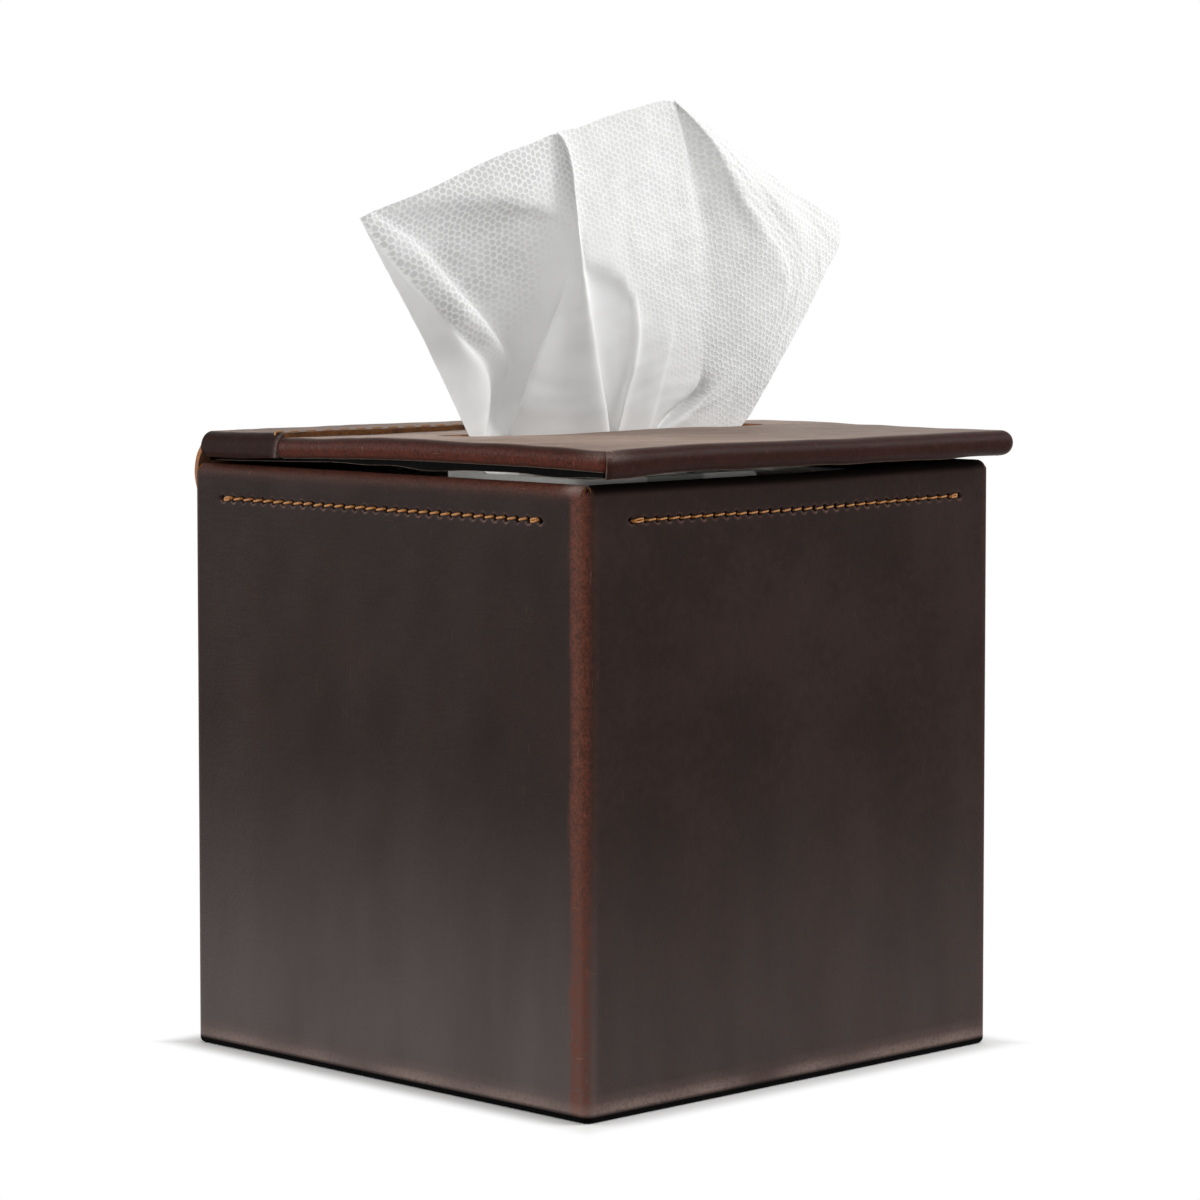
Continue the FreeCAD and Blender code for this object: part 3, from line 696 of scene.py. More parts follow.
def stitch_row(name, holes, across, normal, node, body, radius=0.29, slant=0.42):
    """Thread from hole to hole: holes are points on the leather, across and normal its directions.

    Each stitch rises out of one hole, lies slanted on the leather and dives into the next; the first and
    last are sewn twice.
    """
    holes, across, normal = np.asarray(holes, float), np.asarray(across, float), np.asarray(normal, float)
    draw = np.random.default_rng(len(holes) + len(name))
    rings, sides = 18, 9
    start, short = 0.42, 0.9                    # from its first hole, and how far it falls short of the next
    sink, ply = 0.75, 1.9                       # its depth in the hole, and the length of a turn of the plies
    t = np.linspace(0, 1, rings)
    turn = np.linspace(0, 2 * math.pi, sides, endpoint=False)
    points, faces = [], []
    for i in range(len(holes) - 1):
        twice = i in (0, len(holes) - 2)
        for strand in ((-0.3, 0.3) if twice else (0.0,)):
            length = np.linalg.norm(holes[i + 1] - holes[i])
            way = (holes[i + 1] - holes[i]) / length
            wobble = draw.normal(0, 0.035, 3)
            reach = start + (length - short) * t + wobble[0]
            side = slant * (t - start) * (1 + 3 * wobble[1]) + strand * np.sin(math.pi * t) ** 0.6 + wobble[2]
            edge = np.abs(2 * t - 1)
            lift = radius * 0.75 - (radius + sink) * smooth((edge - 0.72) / 0.28) + 0.05 * np.sin(math.pi * t)
            line = holes[i] + np.outer(reach, way) + np.outer(side, across) + np.outer(lift, normal)
            twist = 2 * math.pi * t * length / ply
            shape = radius * (1 + 0.14 * np.cos(2 * (turn[None, :] - twist[:, None])))
            ring = (line[:, None, :] + shape[..., None] * (np.cos(turn)[None, :, None] * across
                                                           + np.sin(turn)[None, :, None] * normal))
            faces += tube_faces(rings, sides, len(points) * rings * sides)
            points.append(ring.reshape(-1, 3))
    piece = make_piece(name, np.concatenate(points), faces, [THREAD], sharp=70)
    stand_for(piece, node, body)


def make_wall_stitches():
    """The rim's thread on the left, front and right walls."""
    face = HALF - 0.1
    for side, word, normal, way, radius, slant in ((1, "left", (-1, 0, 0), (0, -1, 0), 0.26, 0.42),
                                                   (2, "front", (0, -1, 0), (1, 0, 0), 0.2, 0.25),
                                                   (3, "right", (1, 0, 0), (0, 1, 0), 0.2, 0.25)):
        normal, way = np.array(normal, float), np.array(way, float)
        holes = []
        for a in hole_spots(side):
            spot = normal * face + way * a + np.array([0, 0, STITCH_Z])
            holes.append(spot + np.array([0, 0, float(rise_at(*spot))]))
        stitch_row(f"{word}_rim_stitches", holes, (0, 0, 1), normal, f"{word}_rim_thread", "box", radius,
                   slant=slant)


# ---- the lid

def near_corner(x, y, reach):
    """1 at the lid's left front corner, fading out over the reach."""
    return np.exp(-((x + LID_HALF) ** 2 + (y - LID_FRONT) ** 2) / reach ** 2)


def lid_lift(x, y):
    """How far the used lid stands above the CAD lid in front, on the carton, or below at the back."""
    lift = -0.95 + 1.75 * smooth((68 - y) / 80) + 0.16 * smooth((20 - y) / 60) * np.cos((x + 50) / 28.0)
    return lift - 0.35 * near_corner(x, y, 14.0)


def slot_point(x, y):
    """The point of the slot's edge that faces a point of the lid."""
    radius = SLOT_WIDTH / 2
    reach = SLOT_LENGTH / 2 - radius
    middle = np.stack([np.clip(x, -reach, reach), np.full(np.shape(x), SLOT_Y)], -1)
    away = np.stack([x, y], -1) - middle
    return middle + radius * away / np.linalg.norm(away, axis=-1, keepdims=True)


def part_way(inner, outer, share, z):
    """A row of points a share of the way from one outline to another, at a height."""
    return level(inner + (outer - inner) * share, z)


def lid_section(kind):
    """Outward reach and height of the rows round the lid's edge, from the top to the hem's end.

    The front is one full fold; the sides show the turned-under layer set back; the back is a single layer.
    """
    top, low = LID_TOP, LID_BOTTOM
    under = [(-3.0, low), (-7.0, low), (0.05 - LID_HEM, low), (-LID_HEM, top - LEATHER)]
    if kind == "front":
        fold = (top - low) / 2
        rows = [(reach * 1.06, z) for reach, z in arc((0, top - fold), fold, 90, -90, FOLD_ROWS)]
        return rows + under
    if kind == "side":
        outer, inner = 2.35, 0.4                             # radii of the fold and of the layer under it
        rows = arc((LEATHER - outer - 0.3, top - outer), outer, 90, -72, FOLD_ROWS - 5)
        rows += [(LEATHER - 2.6, top - 4.72)]                # the groove between them
        return rows + arc((LEATHER - 2.5, low + inner), inner, 50, -90, 4) + under
    radius = 2.0
    rows = arc((0.0, top - radius), radius, 90, 0, 9) + [(radius, top - LEATHER + 0.05)]
    return rows + [(x, top - LEATHER) for x in np.linspace(radius - 0.1, -LID_HEM, 11)]


def make_lid():
    """The lid leather from the slot out over its folded edges and back under to the slot."""
    front_left = (-LID_HALF + LEATHER, LID_FRONT + LEATHER)
    back_right = (LID_HALF - LEATHER, LID_BACK - BACK_SETBACK - LEATHER)
    spots, normals, sides, along = outline(front_left, back_right, 0.3, 0.9, 27)
    # the front fold laps round over the ends of the side folds; a column is doubled where the kind changes
    lap = 0.58
    by_side = np.isin(sides, (1, 3)) | ((sides == 5) & (along < lap)) | ((sides == 6) & (along > 1 - lap))
    kinds = np.where(by_side, "side", np.where(np.isin(sides, (2, 5, 6)), "front", "back"))
    ahead = np.roll(kinds, -1)
    column = np.repeat(np.arange(len(kinds)), 1 + (kinds != ahead))
    second = np.concatenate([[False], column[1:] == column[:-1]])
    kind = np.where(second, ahead[column], kinds[column])
    reference, normals, sides, along = spots[column], normals[column], sides[column], along[column]
    edge = slot_point(reference[:, 0], reference[:, 1])
    sections = {name: np.array(lid_section(name)) for name in ("front", "side", "back")}
    fold = np.stack([sections[k] for k in kind], 1)          # rows, columns, (reach, height)
    # squarer front corners, and room for the hinge strip where it wraps the sides
    bearing = np.select([sides == 5, sides == 6], [0.2, 0.05], 0.0) * np.sin(math.pi * along) ** 2
    under_wrap = ((sides == 1) | (sides == 3)) * smooth((reference[:, 1] - FLAP_LOW[1] + 0.3) / 0.8)
    proud = (kind == "front") * (0.5 + 0.35 * (sides == 5))
    low_y, high_y = reference[:, 1].min(), reference[:, 1].max()
    depth = LID_BACK - 2.2 - LINING_LOW[1]                   # of the opening between the hems
    inner = np.stack([reference[:, 0] * (LINING_HIGH[0] / (LID_HALF - LEATHER)),
                      LINING_LOW[1] + (reference[:, 1] - low_y) * depth / (high_y - low_y)], -1)

    rows, tags = [], []
    rounding = [(0.0, -1.0), (0.0, -0.45), (0.004, -0.12), (0.012, 0.0)]
    for f, dz in rounding + [(f, 0.0) for f in np.linspace(0.04, 0.97, 17)]:
        rows.append(part_way(edge, reference, f, LID_TOP + dz))
        tags.append("cut" if dz < -0.4 else "top")
    for i in range(fold.shape[0]):
        reach, height = fold[i, :, 0:1], fold[i, :, 1:2]
        out = np.where(reach > 0, reach * (1 + bearing[:, None]) + proud[:, None], reach)
        out = out - 1.4 * under_wrap[:, None]
        inward = np.clip(-reach / LID_HEM, 0, 1)
        flat = np.where(reach >= -1, reference + normals * out, reference + (inner - reference) * inward)
        rows.append(np.column_stack([flat, height]))
        tags.append("fold" if i < FOLD_ROWS else "under")
    for f in (0.25, 0.6, 1.0):
        rows.append(part_way(inner, edge, f, LID_TOP - LEATHER))
        tags.append("inside")
    points = np.array(rows)

    # relief: waves on the top, the sagging turned-under layer
    x, y, z = points[..., 0].copy(), points[..., 1].copy(), points[..., 2].copy()
    on_top = smooth((z - LID_TOP + 2.0) / 2.0)
    points[..., 2] += on_top * (0.10 * swell(x, y, 45, 11) + 0.03 * swell(x, y, 14, 12))
    front, side = kind == "front", kind == "side"
    corner = near_corner(x, y, 12.0)
    right_end = smooth((x - 45) / 20)
    low_part = smooth((LID_TOP - 1 - z) / 4)
    sag = 0.35 + 0.6 * corner - 0.05 * right_end + 0.1 * swell(x, y, 18, 13)
    points[..., 2] -= front * low_part * sag
    layer = side * smooth((LID_BOTTOM + 0.62 - z) / 0.5) * smooth((20 - y) / 30)
    points[..., 2] -= layer * (0.8 + 0.25 * swell(x * 0, y, 20, 14))
    points[..., 2] += lid_lift(x, y)
    points[..., 0] += LID_SHIFT
    outer = np.array([[tag == "fold"] for tag in tags]) * 1.0
    crest = bell((z - LID_TOP + 0.3) / 0.8)
    left = (side & (x[0] < 0)) * 1.0
    wear = outer * (0.18 + 0.66 * left) * (0.9 - 0.6 * crest * left - 0.5 * smooth((LID_TOP - 3.6 - z) / 1.2))
    wear += 0.05 * outer * crest * front
    # painted glint: a pale spot at the top of the lid's front left corner
    pale = outer * corner ** 4 * bell((z - LID_TOP + 1.0) / 0.8) * 0.4
    # painted shade: the sides' turned-under layer, below the fold, is painted black
    painted_fold_shade = 1.0 * side * smooth((LID_TOP - 4.3 - z) / 0.4)
    values = {"wear": np.clip(wear, 0, 1) * (1 - painted_fold_shade), "pale": np.clip(pale, 0, 1), "hole": painted_fold_shade}

    count = len(rows)
    faces = grid_faces(count, len(kind), wrap_rows=True, wrap_columns=True)
    steps = kind != np.roll(kind, -1)
    slots = []
    for i in range(count):
        line = np.full(len(kind), FINISH["cut"] if i == count - 1 else FINISH.get(tags[i], 0))
        if tags[i] in ("fold", "under"):
            line[steps & (sides != 5)] = FINISH["cut"]
        slots.append(line)
    piece = make_piece("lid_leather", points, faces, [LID_LEATHER, RAW_EDGE, SUEDE], np.concatenate(slots),
                       values, sharp=45)
    stand_for(piece, "lid_panel", "lid")


def make_lining():
    """The thin panel under the lid between its hems, a little puffed between its glued edges."""
    low, high = LINING_LOW, LINING_HIGH
    spots = outline((low[0] + 0.2, low[1] + 0.2), (high[0] - 0.2, high[1] - 2.6), 1.0, 2.0, 4)[0]
    edge = slot_point(spots[:, 0], spots[:, 1])
    sides = ((0.0, high[2] - 0.05), (1.0, high[2] - 0.05), (1.0, low[2] + 0.5), (0.99, low[2] + 0.15))
    rows = [part_way(edge, spots, f, z) for f, z in sides]
    for f in np.linspace(0.9, 0.06, 12):
        flat = edge + (spots - edge) * f
        puff = 0.12 * swell(flat[:, 0], flat[:, 1], 30, 21)
        rows.append(level(flat, low[2] + 0.25 + puff))
    rows += [part_way(edge, spots, 0.01, low[2] + 0.3), level(edge, low[2] + 0.7)]
    points = np.array(rows)
    points[..., 2] += lid_lift(points[..., 0], points[..., 1])
    points[..., 0] += LID_SHIFT
    faces = grid_faces(len(rows), len(spots), wrap_rows=True, wrap_columns=True)
    slots = np.zeros((len(rows), len(spots)), int)
    slots[-1] = FINISH["cut"]
    piece = make_piece("lid_lining_panel", points, faces, [LINING, RAW_EDGE], slots.ravel())
    stand_for(piece, "lid_lining", "lid")


# The outside of the hinge strip past the lid's back edge: (y, z) down to where it lies on the wall.
STRIP_DROP = [(62.2, 142.25), (63.6, 141.6), (64.7, 140.4), (65.6, 139.2), (66.5, 137.7), (67.2, 136.1),
              (67.6, 134.4), (67.75, 132.6), (67.5, 130.9), (67.0, 129.3), (66.5, 127.8), (66.25, 126.0),
              (66.2, 123.5)]
WRAP_RADIUS = 3.3
WRAP_OUT = 66.0                               # outside of the strip's wrapped ends, from the middle
WRAP_REAR = 61.2                              # where the wrapped ends stop, short of the lid's back edge


def strip_top(x, y):
    """Height of the strip's upper face on the lid."""
    return LID_TOP + FLAP_THICKNESS + lid_lift(x, y)


def strip_profile():
    """Y and z along the outside of the hinge strip, from its cut edge on the lid to its end on the wall."""
    front = FLAP_LOW[1]
    lid = [(y, float(strip_top(0.0, y)) - drop) for y, drop in
           ((front, 0.1), (front + 0.8, 0.0), (40, 0), (46, 0), (52, 0), (57, 0), (60.3, 0))]
    return np.array(lid + STRIP_DROP + [(HALF + FLAP_THICKNESS, FLAP_LOW[2])], float)


def wrapped_end(y, top):
    """Outside of one wrapped end of the strip at y: 14 points from the top down round the lid's side fold."""
    radius, curl, curl_low = WRAP_RADIUS, 1.3, 136.25
    low = np.interp(y, [33, 54, 58.0, 59.6, 60.6, WRAP_REAR], [137.35, curl_low, 136.2, 136.6, 137.4, 138.9])
    line = arc((WRAP_OUT - radius, top - radius), radius, 90, 0, 9)
    foot = arc((WRAP_OUT - curl, curl_low + curl), curl, 0, -75, 6)
    line = np.array([spot for spot in line if spot[1] > low + 0.2] + [(x, z + 0.3) for x, z in foot])
    line[:, 1] = np.maximum(line[:, 1], low)
    length = distance_along(line)
    past = np.interp(low + 0.01, line[::-1, 1], length[::-1])
    spots = np.linspace(0, min(past, length[-1]), 15)[1:]
    return np.stack([np.interp(spots, length, line[:, 0]), np.interp(spots, length, line[:, 1])], -1)


def make_flap():
    """The hinge strip over the back of the lid, wrapped down round both its ends, and down the back wall."""
    line = strip_profile()
    along = curve_through(line, even_spots(line, 96))
    middle, wrap = 121, 14                      # columns over the lid, and down round each end
    flat = np.linspace(-1, 1, middle)
    # the last row that is wrapped, where the strip leaves the lid
    last = int(np.argmin(np.abs(along[:, 0] - WRAP_REAR) + 100 * (along[:, 1] < 141)))
    columns = middle + 2 * wrap
    points = np.zeros((len(along), columns, 3))
    for i, (y, z) in enumerate(along):
        half = WRAP_OUT - WRAP_RADIUS if i <= last else FLAP_HIGH[0] - 1.8 + 0.4 * math.exp(-(i - last) / 3)
        points[i, wrap:wrap + middle] = np.column_stack([flat * half, np.full(middle, y), np.full(middle, z)])
        if i <= last:
            side = wrapped_end(y, z)
            side = np.column_stack([side[:, 0], np.full(wrap, y), side[:, 1]])
            points[i, wrap + middle:] = side
            points[i, :wrap] = (side * [-1, 1, 1])[::-1]
    x, y, z = points[..., 0].copy(), points[..., 1].copy(), points[..., 2].copy()
    on_lid = smooth((z - RIM - 1.5) / 4.0)
    points[..., 2] += 0.05 * swell(x, y + z, 30, 31) + 0.015 * on_lid * swell(x, y, 9, 33)
    points[..., 0] += LID_SHIFT * on_lid
    points[..., 1] += 0.2 * smooth((z - 121) / 8) * smooth((141 - z) / 5) * swell(x, z, 40, 32)
    faces = grid_faces(len(along), columns)
    row, col = faces[:, 0] // columns, faces[:, 0] % columns
    wrapped = (col < wrap) | (col >= columns - 1 - wrap)
    faces = faces[~(wrapped & (row >= last))]
    used = np.unique(faces)
    renumber = np.full(points.shape[0] * columns, -1)
    renumber[used] = np.arange(len(used))
    side = smooth((np.abs(x) - WRAP_OUT + 2.4) / 1.5)
    wear = 0.2 * side + 0.55 * bell((z - 139.5) / 3.0) * smooth((y - 61) / 2)
    wear += 0.5 * smooth((136 - z) / 4) * smooth((z - 120) / 8) * 0.6
    pale = 0.3 * bell((y - FLAP_LOW[1]) / 0.8)
    values = {"wear": np.clip(wear, 0, 1).reshape(-1)[used], "pale": pale.reshape(-1)[used]}
    piece = make_piece("hinge_strip", points.reshape(-1, 3)[used], renumber[faces],
                       [FLAP_LEATHER, SUEDE, RAW_EDGE], None, values, closed=False)
    thicken(piece, FLAP_THICKNESS)
    for face in piece.data.polygons:
        x, y, z = face.center / MM
        if face.material_index == 2 and abs(x) > 63 and y < 60 and z < LID_TOP + FLAP_THICKNESS:
            face.material_index = 0                 # the wrapped ends' cut edges are burnished dark
    stand_for(piece, "hinge_flap", None)
    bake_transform(piece)


def make_flap_stitches():
    """The hinge strip's thread on the lid and the back wall, and the back seam's two rows."""
    low, high = node_box("flap_thread")
    y = (low[1] + high[1]) / 2 - 0.7
    spots = np.concatenate([[-65.0], np.arange(-12, 13) * FLAP_PITCH - 1.0, [63.4]])
    holes = [(x + LID_SHIFT, y, float(strip_top(x, y)) - 0.14 + 0.1 * (i == 0)) for i, x in enumerate(spots)]
    stitch_row("flap_stitches", holes, (0, 1, 0), (0, 0, 1), "flap_thread", "lid", radius=0.2, slant=0.2)
    wall = HALF + FLAP_THICKNESS
    holes = [(-a, wall, STITCH_Z - 0.6) for a in hole_spots(0)]
    stitch_row("back_rim_stitches", holes, (0, 0, 1), (0, 1, 0), "back_rim_thread", "box")
    low, high = node_box("seam_thread")
    count = int((high[2] - low[2]) / FLAP_PITCH) + 1
    heights = (low[2] + high[2]) / 2 + (np.arange(count) - (count - 1) / 2) * FLAP_PITCH
    for word, x in (("left", -5.5), ("right", 5.5)):
        holes = [(x, HALF - 0.05, z) for z in heights]
        stitch_row(f"seam_{word}_stitches", holes, (1, 0, 0), (0, 1, 0), "seam_thread", "box", radius=0.33)


# ---- the refill

def make_carton():
    """The card box inside: a sunk, puffed top, a mouth torn along its perforation, one corner standing up."""
    low, high = CARTON_LOW, CARTON_HIGH
    top, sunk, mouth_half, mouth_radius = high[2], 3.4, 49.0, 20.0
    spots, normals = outline(low[:2], high[:2], 1.5, 0.8, 5)[:2]
    reach = mouth_half - mouth_radius
    middle = level(np.clip(spots[:, 0], -reach, reach), SLOT_Y)
    away = spots - middle
    away /= np.linalg.norm(away, axis=1, keepdims=True)
    run = distance_along(spots)
    torn = 0.25 * np.sin(run * 2.2) * (np.sin(run * 0.31) > -0.3)
    edge = middle + away * (mouth_radius + torn)[:, None]
    x, y = spots[:, 0], spots[:, 1]
    left_tab = (x < -50) * smooth((-14.5 - y) / 1.0)
    front_tab = (y < -50) * smooth((-2.0 - x) / 6.0)
    standing = np.maximum(left_tab, front_tab)
    rows = []
    for f in np.concatenate([[0.0, 0.02], np.linspace(0.08, 0.9, 11), [0.955, 0.985]]):
        flat = edge + (spots - edge) * f
        puff = 0.15 * swell(flat[:, 0], flat[:, 1], 34, 41) * (1 - f)
        raised = sunk * standing * smooth((f - 0.93) / 0.05)
        rows.append(level(flat, top - 0.35 - sunk + puff + raised))
    rows.append(level(spots - 0.2 * normals, top - 0.45 - sunk * (1 - standing)))
    shoulder = top - 0.9 - sunk * (1 - standing)
    for t in np.concatenate([[0.0, 0.012, 0.03, 0.05], np.linspace(0.08, 0.97, 13), [1.0]]):
        z = shoulder + (low[2] + 0.4 - shoulder) * t
        bow = -0.5 * math.sin(math.pi * t) * (0.5 + 0.5 * swell(run, run * 0 + 90 * t, 70, 42))
        rows.append(level(spots + np.clip(bow, -0.9, 0)[:, None] * normals, z))
    rows += [level(spots * f, low[2] + 0.02) for f in (0.985, 0.5)]
    points = np.array(rows)
    lean = 2.9 * standing * smooth((points[..., 2] - top + 12) / 11) * (np.arange(len(rows)) > 12)[:, None]
    points[..., :2] += lean[..., None] * normals
    faces = tube_faces(len(rows), len(spots), first_cap=False)
    piece = make_piece("carton", points, faces, [CARD], closed=False)
    face_outward(piece.data, top=0.12)
    thicken(piece, 0.6, back=0, rim=0, even=False)
    stand_for(piece, "tissue_carton", "box")


def make_stack():
    """The folded tissues left in the carton: a soft pile with its layered sides and a folded top."""
    low, high = STACK_LOW, STACK_HIGH
    spots, normals = outline(low[:2] + 0.6, high[:2] - 0.6, 3.0, 1.2, 6)[:2]
    run = distance_along(spots)
    rows = [level(spots * f, low[2]) for f in (0.02, 0.3, 0.9)]
    layers = np.linspace(low[2] + 0.8, high[2] - 2.2, 90)
    for i, z in enumerate(layers):
        slip = 0.28 * ((i % 3) - 1) + 0.2 * swell(run, np.full(len(run), z), 60, 51)
        rows.append(level(spots + normals * slip[:, None], z))
    for f in (0.995, 0.98, 0.95, 0.88, 0.76, 0.62, 0.48, 0.34, 0.2, 0.08, 0.02):
        flat = spots * f
        crown = -0.6 + 0.5 * swell(flat[:, 0], flat[:, 1], 26, 52) * smooth((1 - f) / 0.2)
        fold = 0.5 * bell((flat[:, 1] - 6 - 1.5 * np.sin(flat[:, 0] / 14)) / 0.8)
        edge = -1.2 * smooth((f - 0.9) / 0.1)
        rows.append(level(flat, high[2] - 0.9 + np.clip(crown + fold + edge, -2, 0.8)))
    piece = make_piece("tissue_pile", rows, tube_faces(len(rows), len(spots)), [PLAIN_TISSUE], sharp=80)
    stand_for(piece, "tissue_stack", "box")


# The raised tissue's folds, left to right as the photograph shows them. Each has the part of its length,
# from the slot up, that the embossing leaves plain, and a line from the slot to the sheet's top edge:
# (pixel x, pixel y, how far it stands out of the sheet's own plane in millimetres).
FOLDS = [
    ("left_edge", 1.3, [(471, 440, -5), (449, 393, -8), (426, 345, -7), (403, 300, -5), (381, 260, -3.2),
      (360, 218, -2)]),
    ("crease", 1.1, [(483, 438, -4.8), (487, 400, -5.6), (480, 370, -5.6), (450, 334, -3.6), (421, 299, -3),
      (395, 268, -2.6), (373, 241, -2.5), (361, 218, -1.9)]),
    ("crest", 0.36, [(485, 437, -6), (490, 400, -9), (488, 368, -8.8), (464, 337, -3.6), (437, 305, -1),
      (409, 272, -0.3), (384, 241, -0.4), (362, 217, -1.8)]),
    ("band", 0.34, [(488, 437, -6), (495, 400, -9.2), (504, 362, -8.4), (488, 328, -3), (463, 299, 0),
      (434, 266, 0.6), (407, 238, 0), (368, 214, -1.6)]),
    ("band_foot", 0.4, [(492, 437, -6), (501, 400, -9.4), (509, 361, -10.2), (492, 327, -10),
      (467, 297, -9.6), (438, 264, -8.4), (412, 236, -5), (374, 211, -1.8)]),
    ("pocket_low", 0.44, [(502, 436, -5), (512, 395, -8.2), (520, 358, -8.8), (513, 322, -8),
      (495, 290, -7.2), (467, 252, -6.4), (447, 220, -4.2), (437, 203, -0.4), (425, 191, -0.4)]),
    ("pocket", 0.5, [(511, 435, -4), (524, 390, -6), (538, 345, -6), (533, 300, -4.6), (517, 260, -4),
      (501, 229, -3.4), (493, 212, -1.9), (487, 199, 0.8), (472, 168, -0.4)]),
    ("pocket_high", 0.64, [(517, 434, -3.6), (532, 388, -4.8), (548, 335, -3.4), (549, 290, -1.8),
      (542, 255, -1.9), (532, 230, -1.8), (526, 214, -0.9), (520, 201, 1.2), (505, 153, 0)]),
    ("cone_back", 0.74, [(522, 433, -3.6), (541, 380, -3.8), (560, 325, -1.4), (564, 285, 0.2), (560, 255, 0),
      (556, 237, -0.5), (552, 222, -0.2), (549, 210, 1.2), (544, 185, 1), (533, 143, 0)]),
    ("cone_edge", 0.76, [(510, 434, -3.6), (523, 396, -1.7), (537, 357, -0.2), (552, 322, 0.7),
      (562, 297, 1.1), (570, 268, 1.4), (572, 245, 1), (570, 230, 0.6), (567, 215, 1.2), (560, 180, 0.6),
      (550, 135, 0.1)]),
    ("cone", 0.74, [(553, 434, -0.8), (558, 395, 0.6), (562, 360, 1.7), (568, 312, 2.8), (575, 266, 3.4),
      (576, 240, 3.2), (575, 214, 1.6), (571, 180, 0.6), (565, 152, 0), (557, 134, 0)]),
    ("ridge", 0.66, [(606, 434, 2.2), (602, 400, 3.8), (597, 362, 5), (588, 299, 6.2), (581, 246, 6),
      (577, 213, 5.2), (572, 165, 3.4), (565, 142, 2.2), (557, 132, 1)]),
    ("ridge_under", 0.6, [(606, 434, -2), (602, 400, -0.5), (596, 362, 0.8), (588, 299, 1.8), (582, 246, 3),
      (578, 213, 2.8), (573, 165, 1.6), (567, 142, 0.9), (560, 131, 0.4)]),
    ("arch_valley", 0.58, [(609, 434, -0.6), (605, 400, -0.6), (600, 362, -0.4), (594, 320, 0),
      (592, 290, 0.5), (591, 276, 1), (590, 262, 2.7), (588, 240, 2.9), (584, 190, 1.6), (580, 127, 0)]),
    ("arch_inside", 0.55, [(612, 434, -0.2), (614, 400, 0.2), (615, 362, 0.5), (614, 330, 0.8),
      (613, 305, 1.1), (612, 288, 1.4), (611, 270, 2.9), (608, 240, 2.8), (604, 190, 1.5), (602, 118, 0)]),
    ("arch_slope", 0.48, [(616, 434, 0.7), (621, 400, 1.2), (626, 362, 1.8), (628, 335, 2.1), (628, 315, 2.3),
      (627, 300, 2.5), (625, 282, 3.1), (620, 250, 2.8), (615, 190, 1.5), (612, 115, 0)]),
    ("arch", 0.42, [(618, 433, 2), (626, 400, 2.8), (634, 370, 3.3), (639, 340, 3.6), (639, 322, 3.5),
      (636, 303, 3.3), (632, 285, 3.1), (629, 245, 2.6), (626, 190, 1.2), (625, 111, 0)]),
    ("after_arch", 0.36, [(621, 433, 0.6), (630, 400, 1.2), (638, 370, 1.8), (643, 340, 2.3), (643, 315, 2.6),
      (642, 295, 2.7), (640, 270, 2.7), (638, 240, 2.4), (636, 190, 1.1), (636, 108, 0)]),
    ("second_crest", 0.25, [(646, 432, 2.2), (651, 415, 2.6), (660, 383, 3.1), (667, 355, 3.1),
      (670, 330, 2.5), (670, 292, 1.8), (668, 229, 0.7), (664, 170, 0.2), (660, 101, 0)]),
    ("second_under", 0.22, [(650, 432, 1), (655, 415, 1.6), (664, 384, 2.3), (671, 356, 2.5), (675, 330, 2.1),
      (677, 292, 1.6), (676, 229, 0.5), (673, 170, 0), (667, 101, -0.1)]),
    ("after_second", 0.2, [(653, 432, 0.8), (662, 418, 1), (674, 406, 1.1), (686, 395, 1.3), (694, 382, 1.4),
      (697, 362, 1.4), (697, 335, 1.3), (692, 270, 0.8), (688, 200, 0), (684, 150, -0.2), (674, 102, -0.2)]),
    ("streak", 0.14, [(654, 432, -1.8), (664, 419, -2.8), (676, 407, -3.2), (688, 396, -2.6),
      (697, 387, -0.8), (703, 367, 1), (706, 335, 1.3), (707, 270, 0.5), (698, 200, -0.7), (689, 152, -1.2),
      (676, 103, -1)]),
    ("streak_lip", 0.1, [(663, 432, 0.8), (674, 424, 1.2), (688, 413, 1.4), (701, 402, 1.5), (711, 390, 1.5),
      (717, 368, 1.4), (724, 330, 1.5), (723, 270, 1), (713, 200, 0.4), (702, 146, 0), (677, 104, -0.6)]),
    ("soft_ridge", 0.05, [(692, 431, 1.1), (706, 412, 1.4), (720, 388, 1.6), (735, 352, 1.5), (747, 312, 1.3),
      (752, 275, 1.4), (746, 240, 1.7), (732, 200, 2), (713, 154, 1.6), (700, 131, 1), (678, 104, -0.3)]),
    ("right_ridge", 0.0, [(706, 431, 0.8), (727, 405, 1), (748, 370, 0.9), (768, 330, 0.7), (783, 290, 1),
      (780, 256, 1.9), (763, 224, 2.8), (745, 194, 3.2), (723, 152, 2.9), (700, 124, 2.1), (679, 104, 0.3)]),
    ("right_facet", 0.0, [(714, 431, 0.6), (737, 402, 0.6), (760, 365, 0.3), (782, 325, 0), (799, 285, 0.2),
      (798, 250, 0.9), (784, 215, 1.6), (768, 186, 1.6), (751, 160, 1)]),
    ("right_outer", 0.0, [(726, 431, 0.3), (750, 398, 0.1), (780, 345, -0.4), (808, 290, -0.4), (818, 250, 0),
      (812, 218, 0.2), (802, 197, 0.2)]),
    ("right_edge", 0.0, [(738, 430, 0), (752, 411, -0.2), (778, 365, -0.8), (803, 318, -1.1),
      (824, 275, -0.8), (838, 246, -0.6), (840, 223, -0.6)]),
]
CONE_RIB = [name for name, _, _ in FOLDS].index("cone")
SHEET_Y, SHEET_TURN = -4.6, math.radians(8.0)
SHEET_TURN_RISE = 49.0                                  # by this height above the lid it has turned fully
CURL_LEFT, CURL_RIGHT, CURL_DEPTH = 540.0, 765.0, 5.0   # past these pixels the sheet curls away
CURL_FOOT = 430                                         # pixel row above which it does


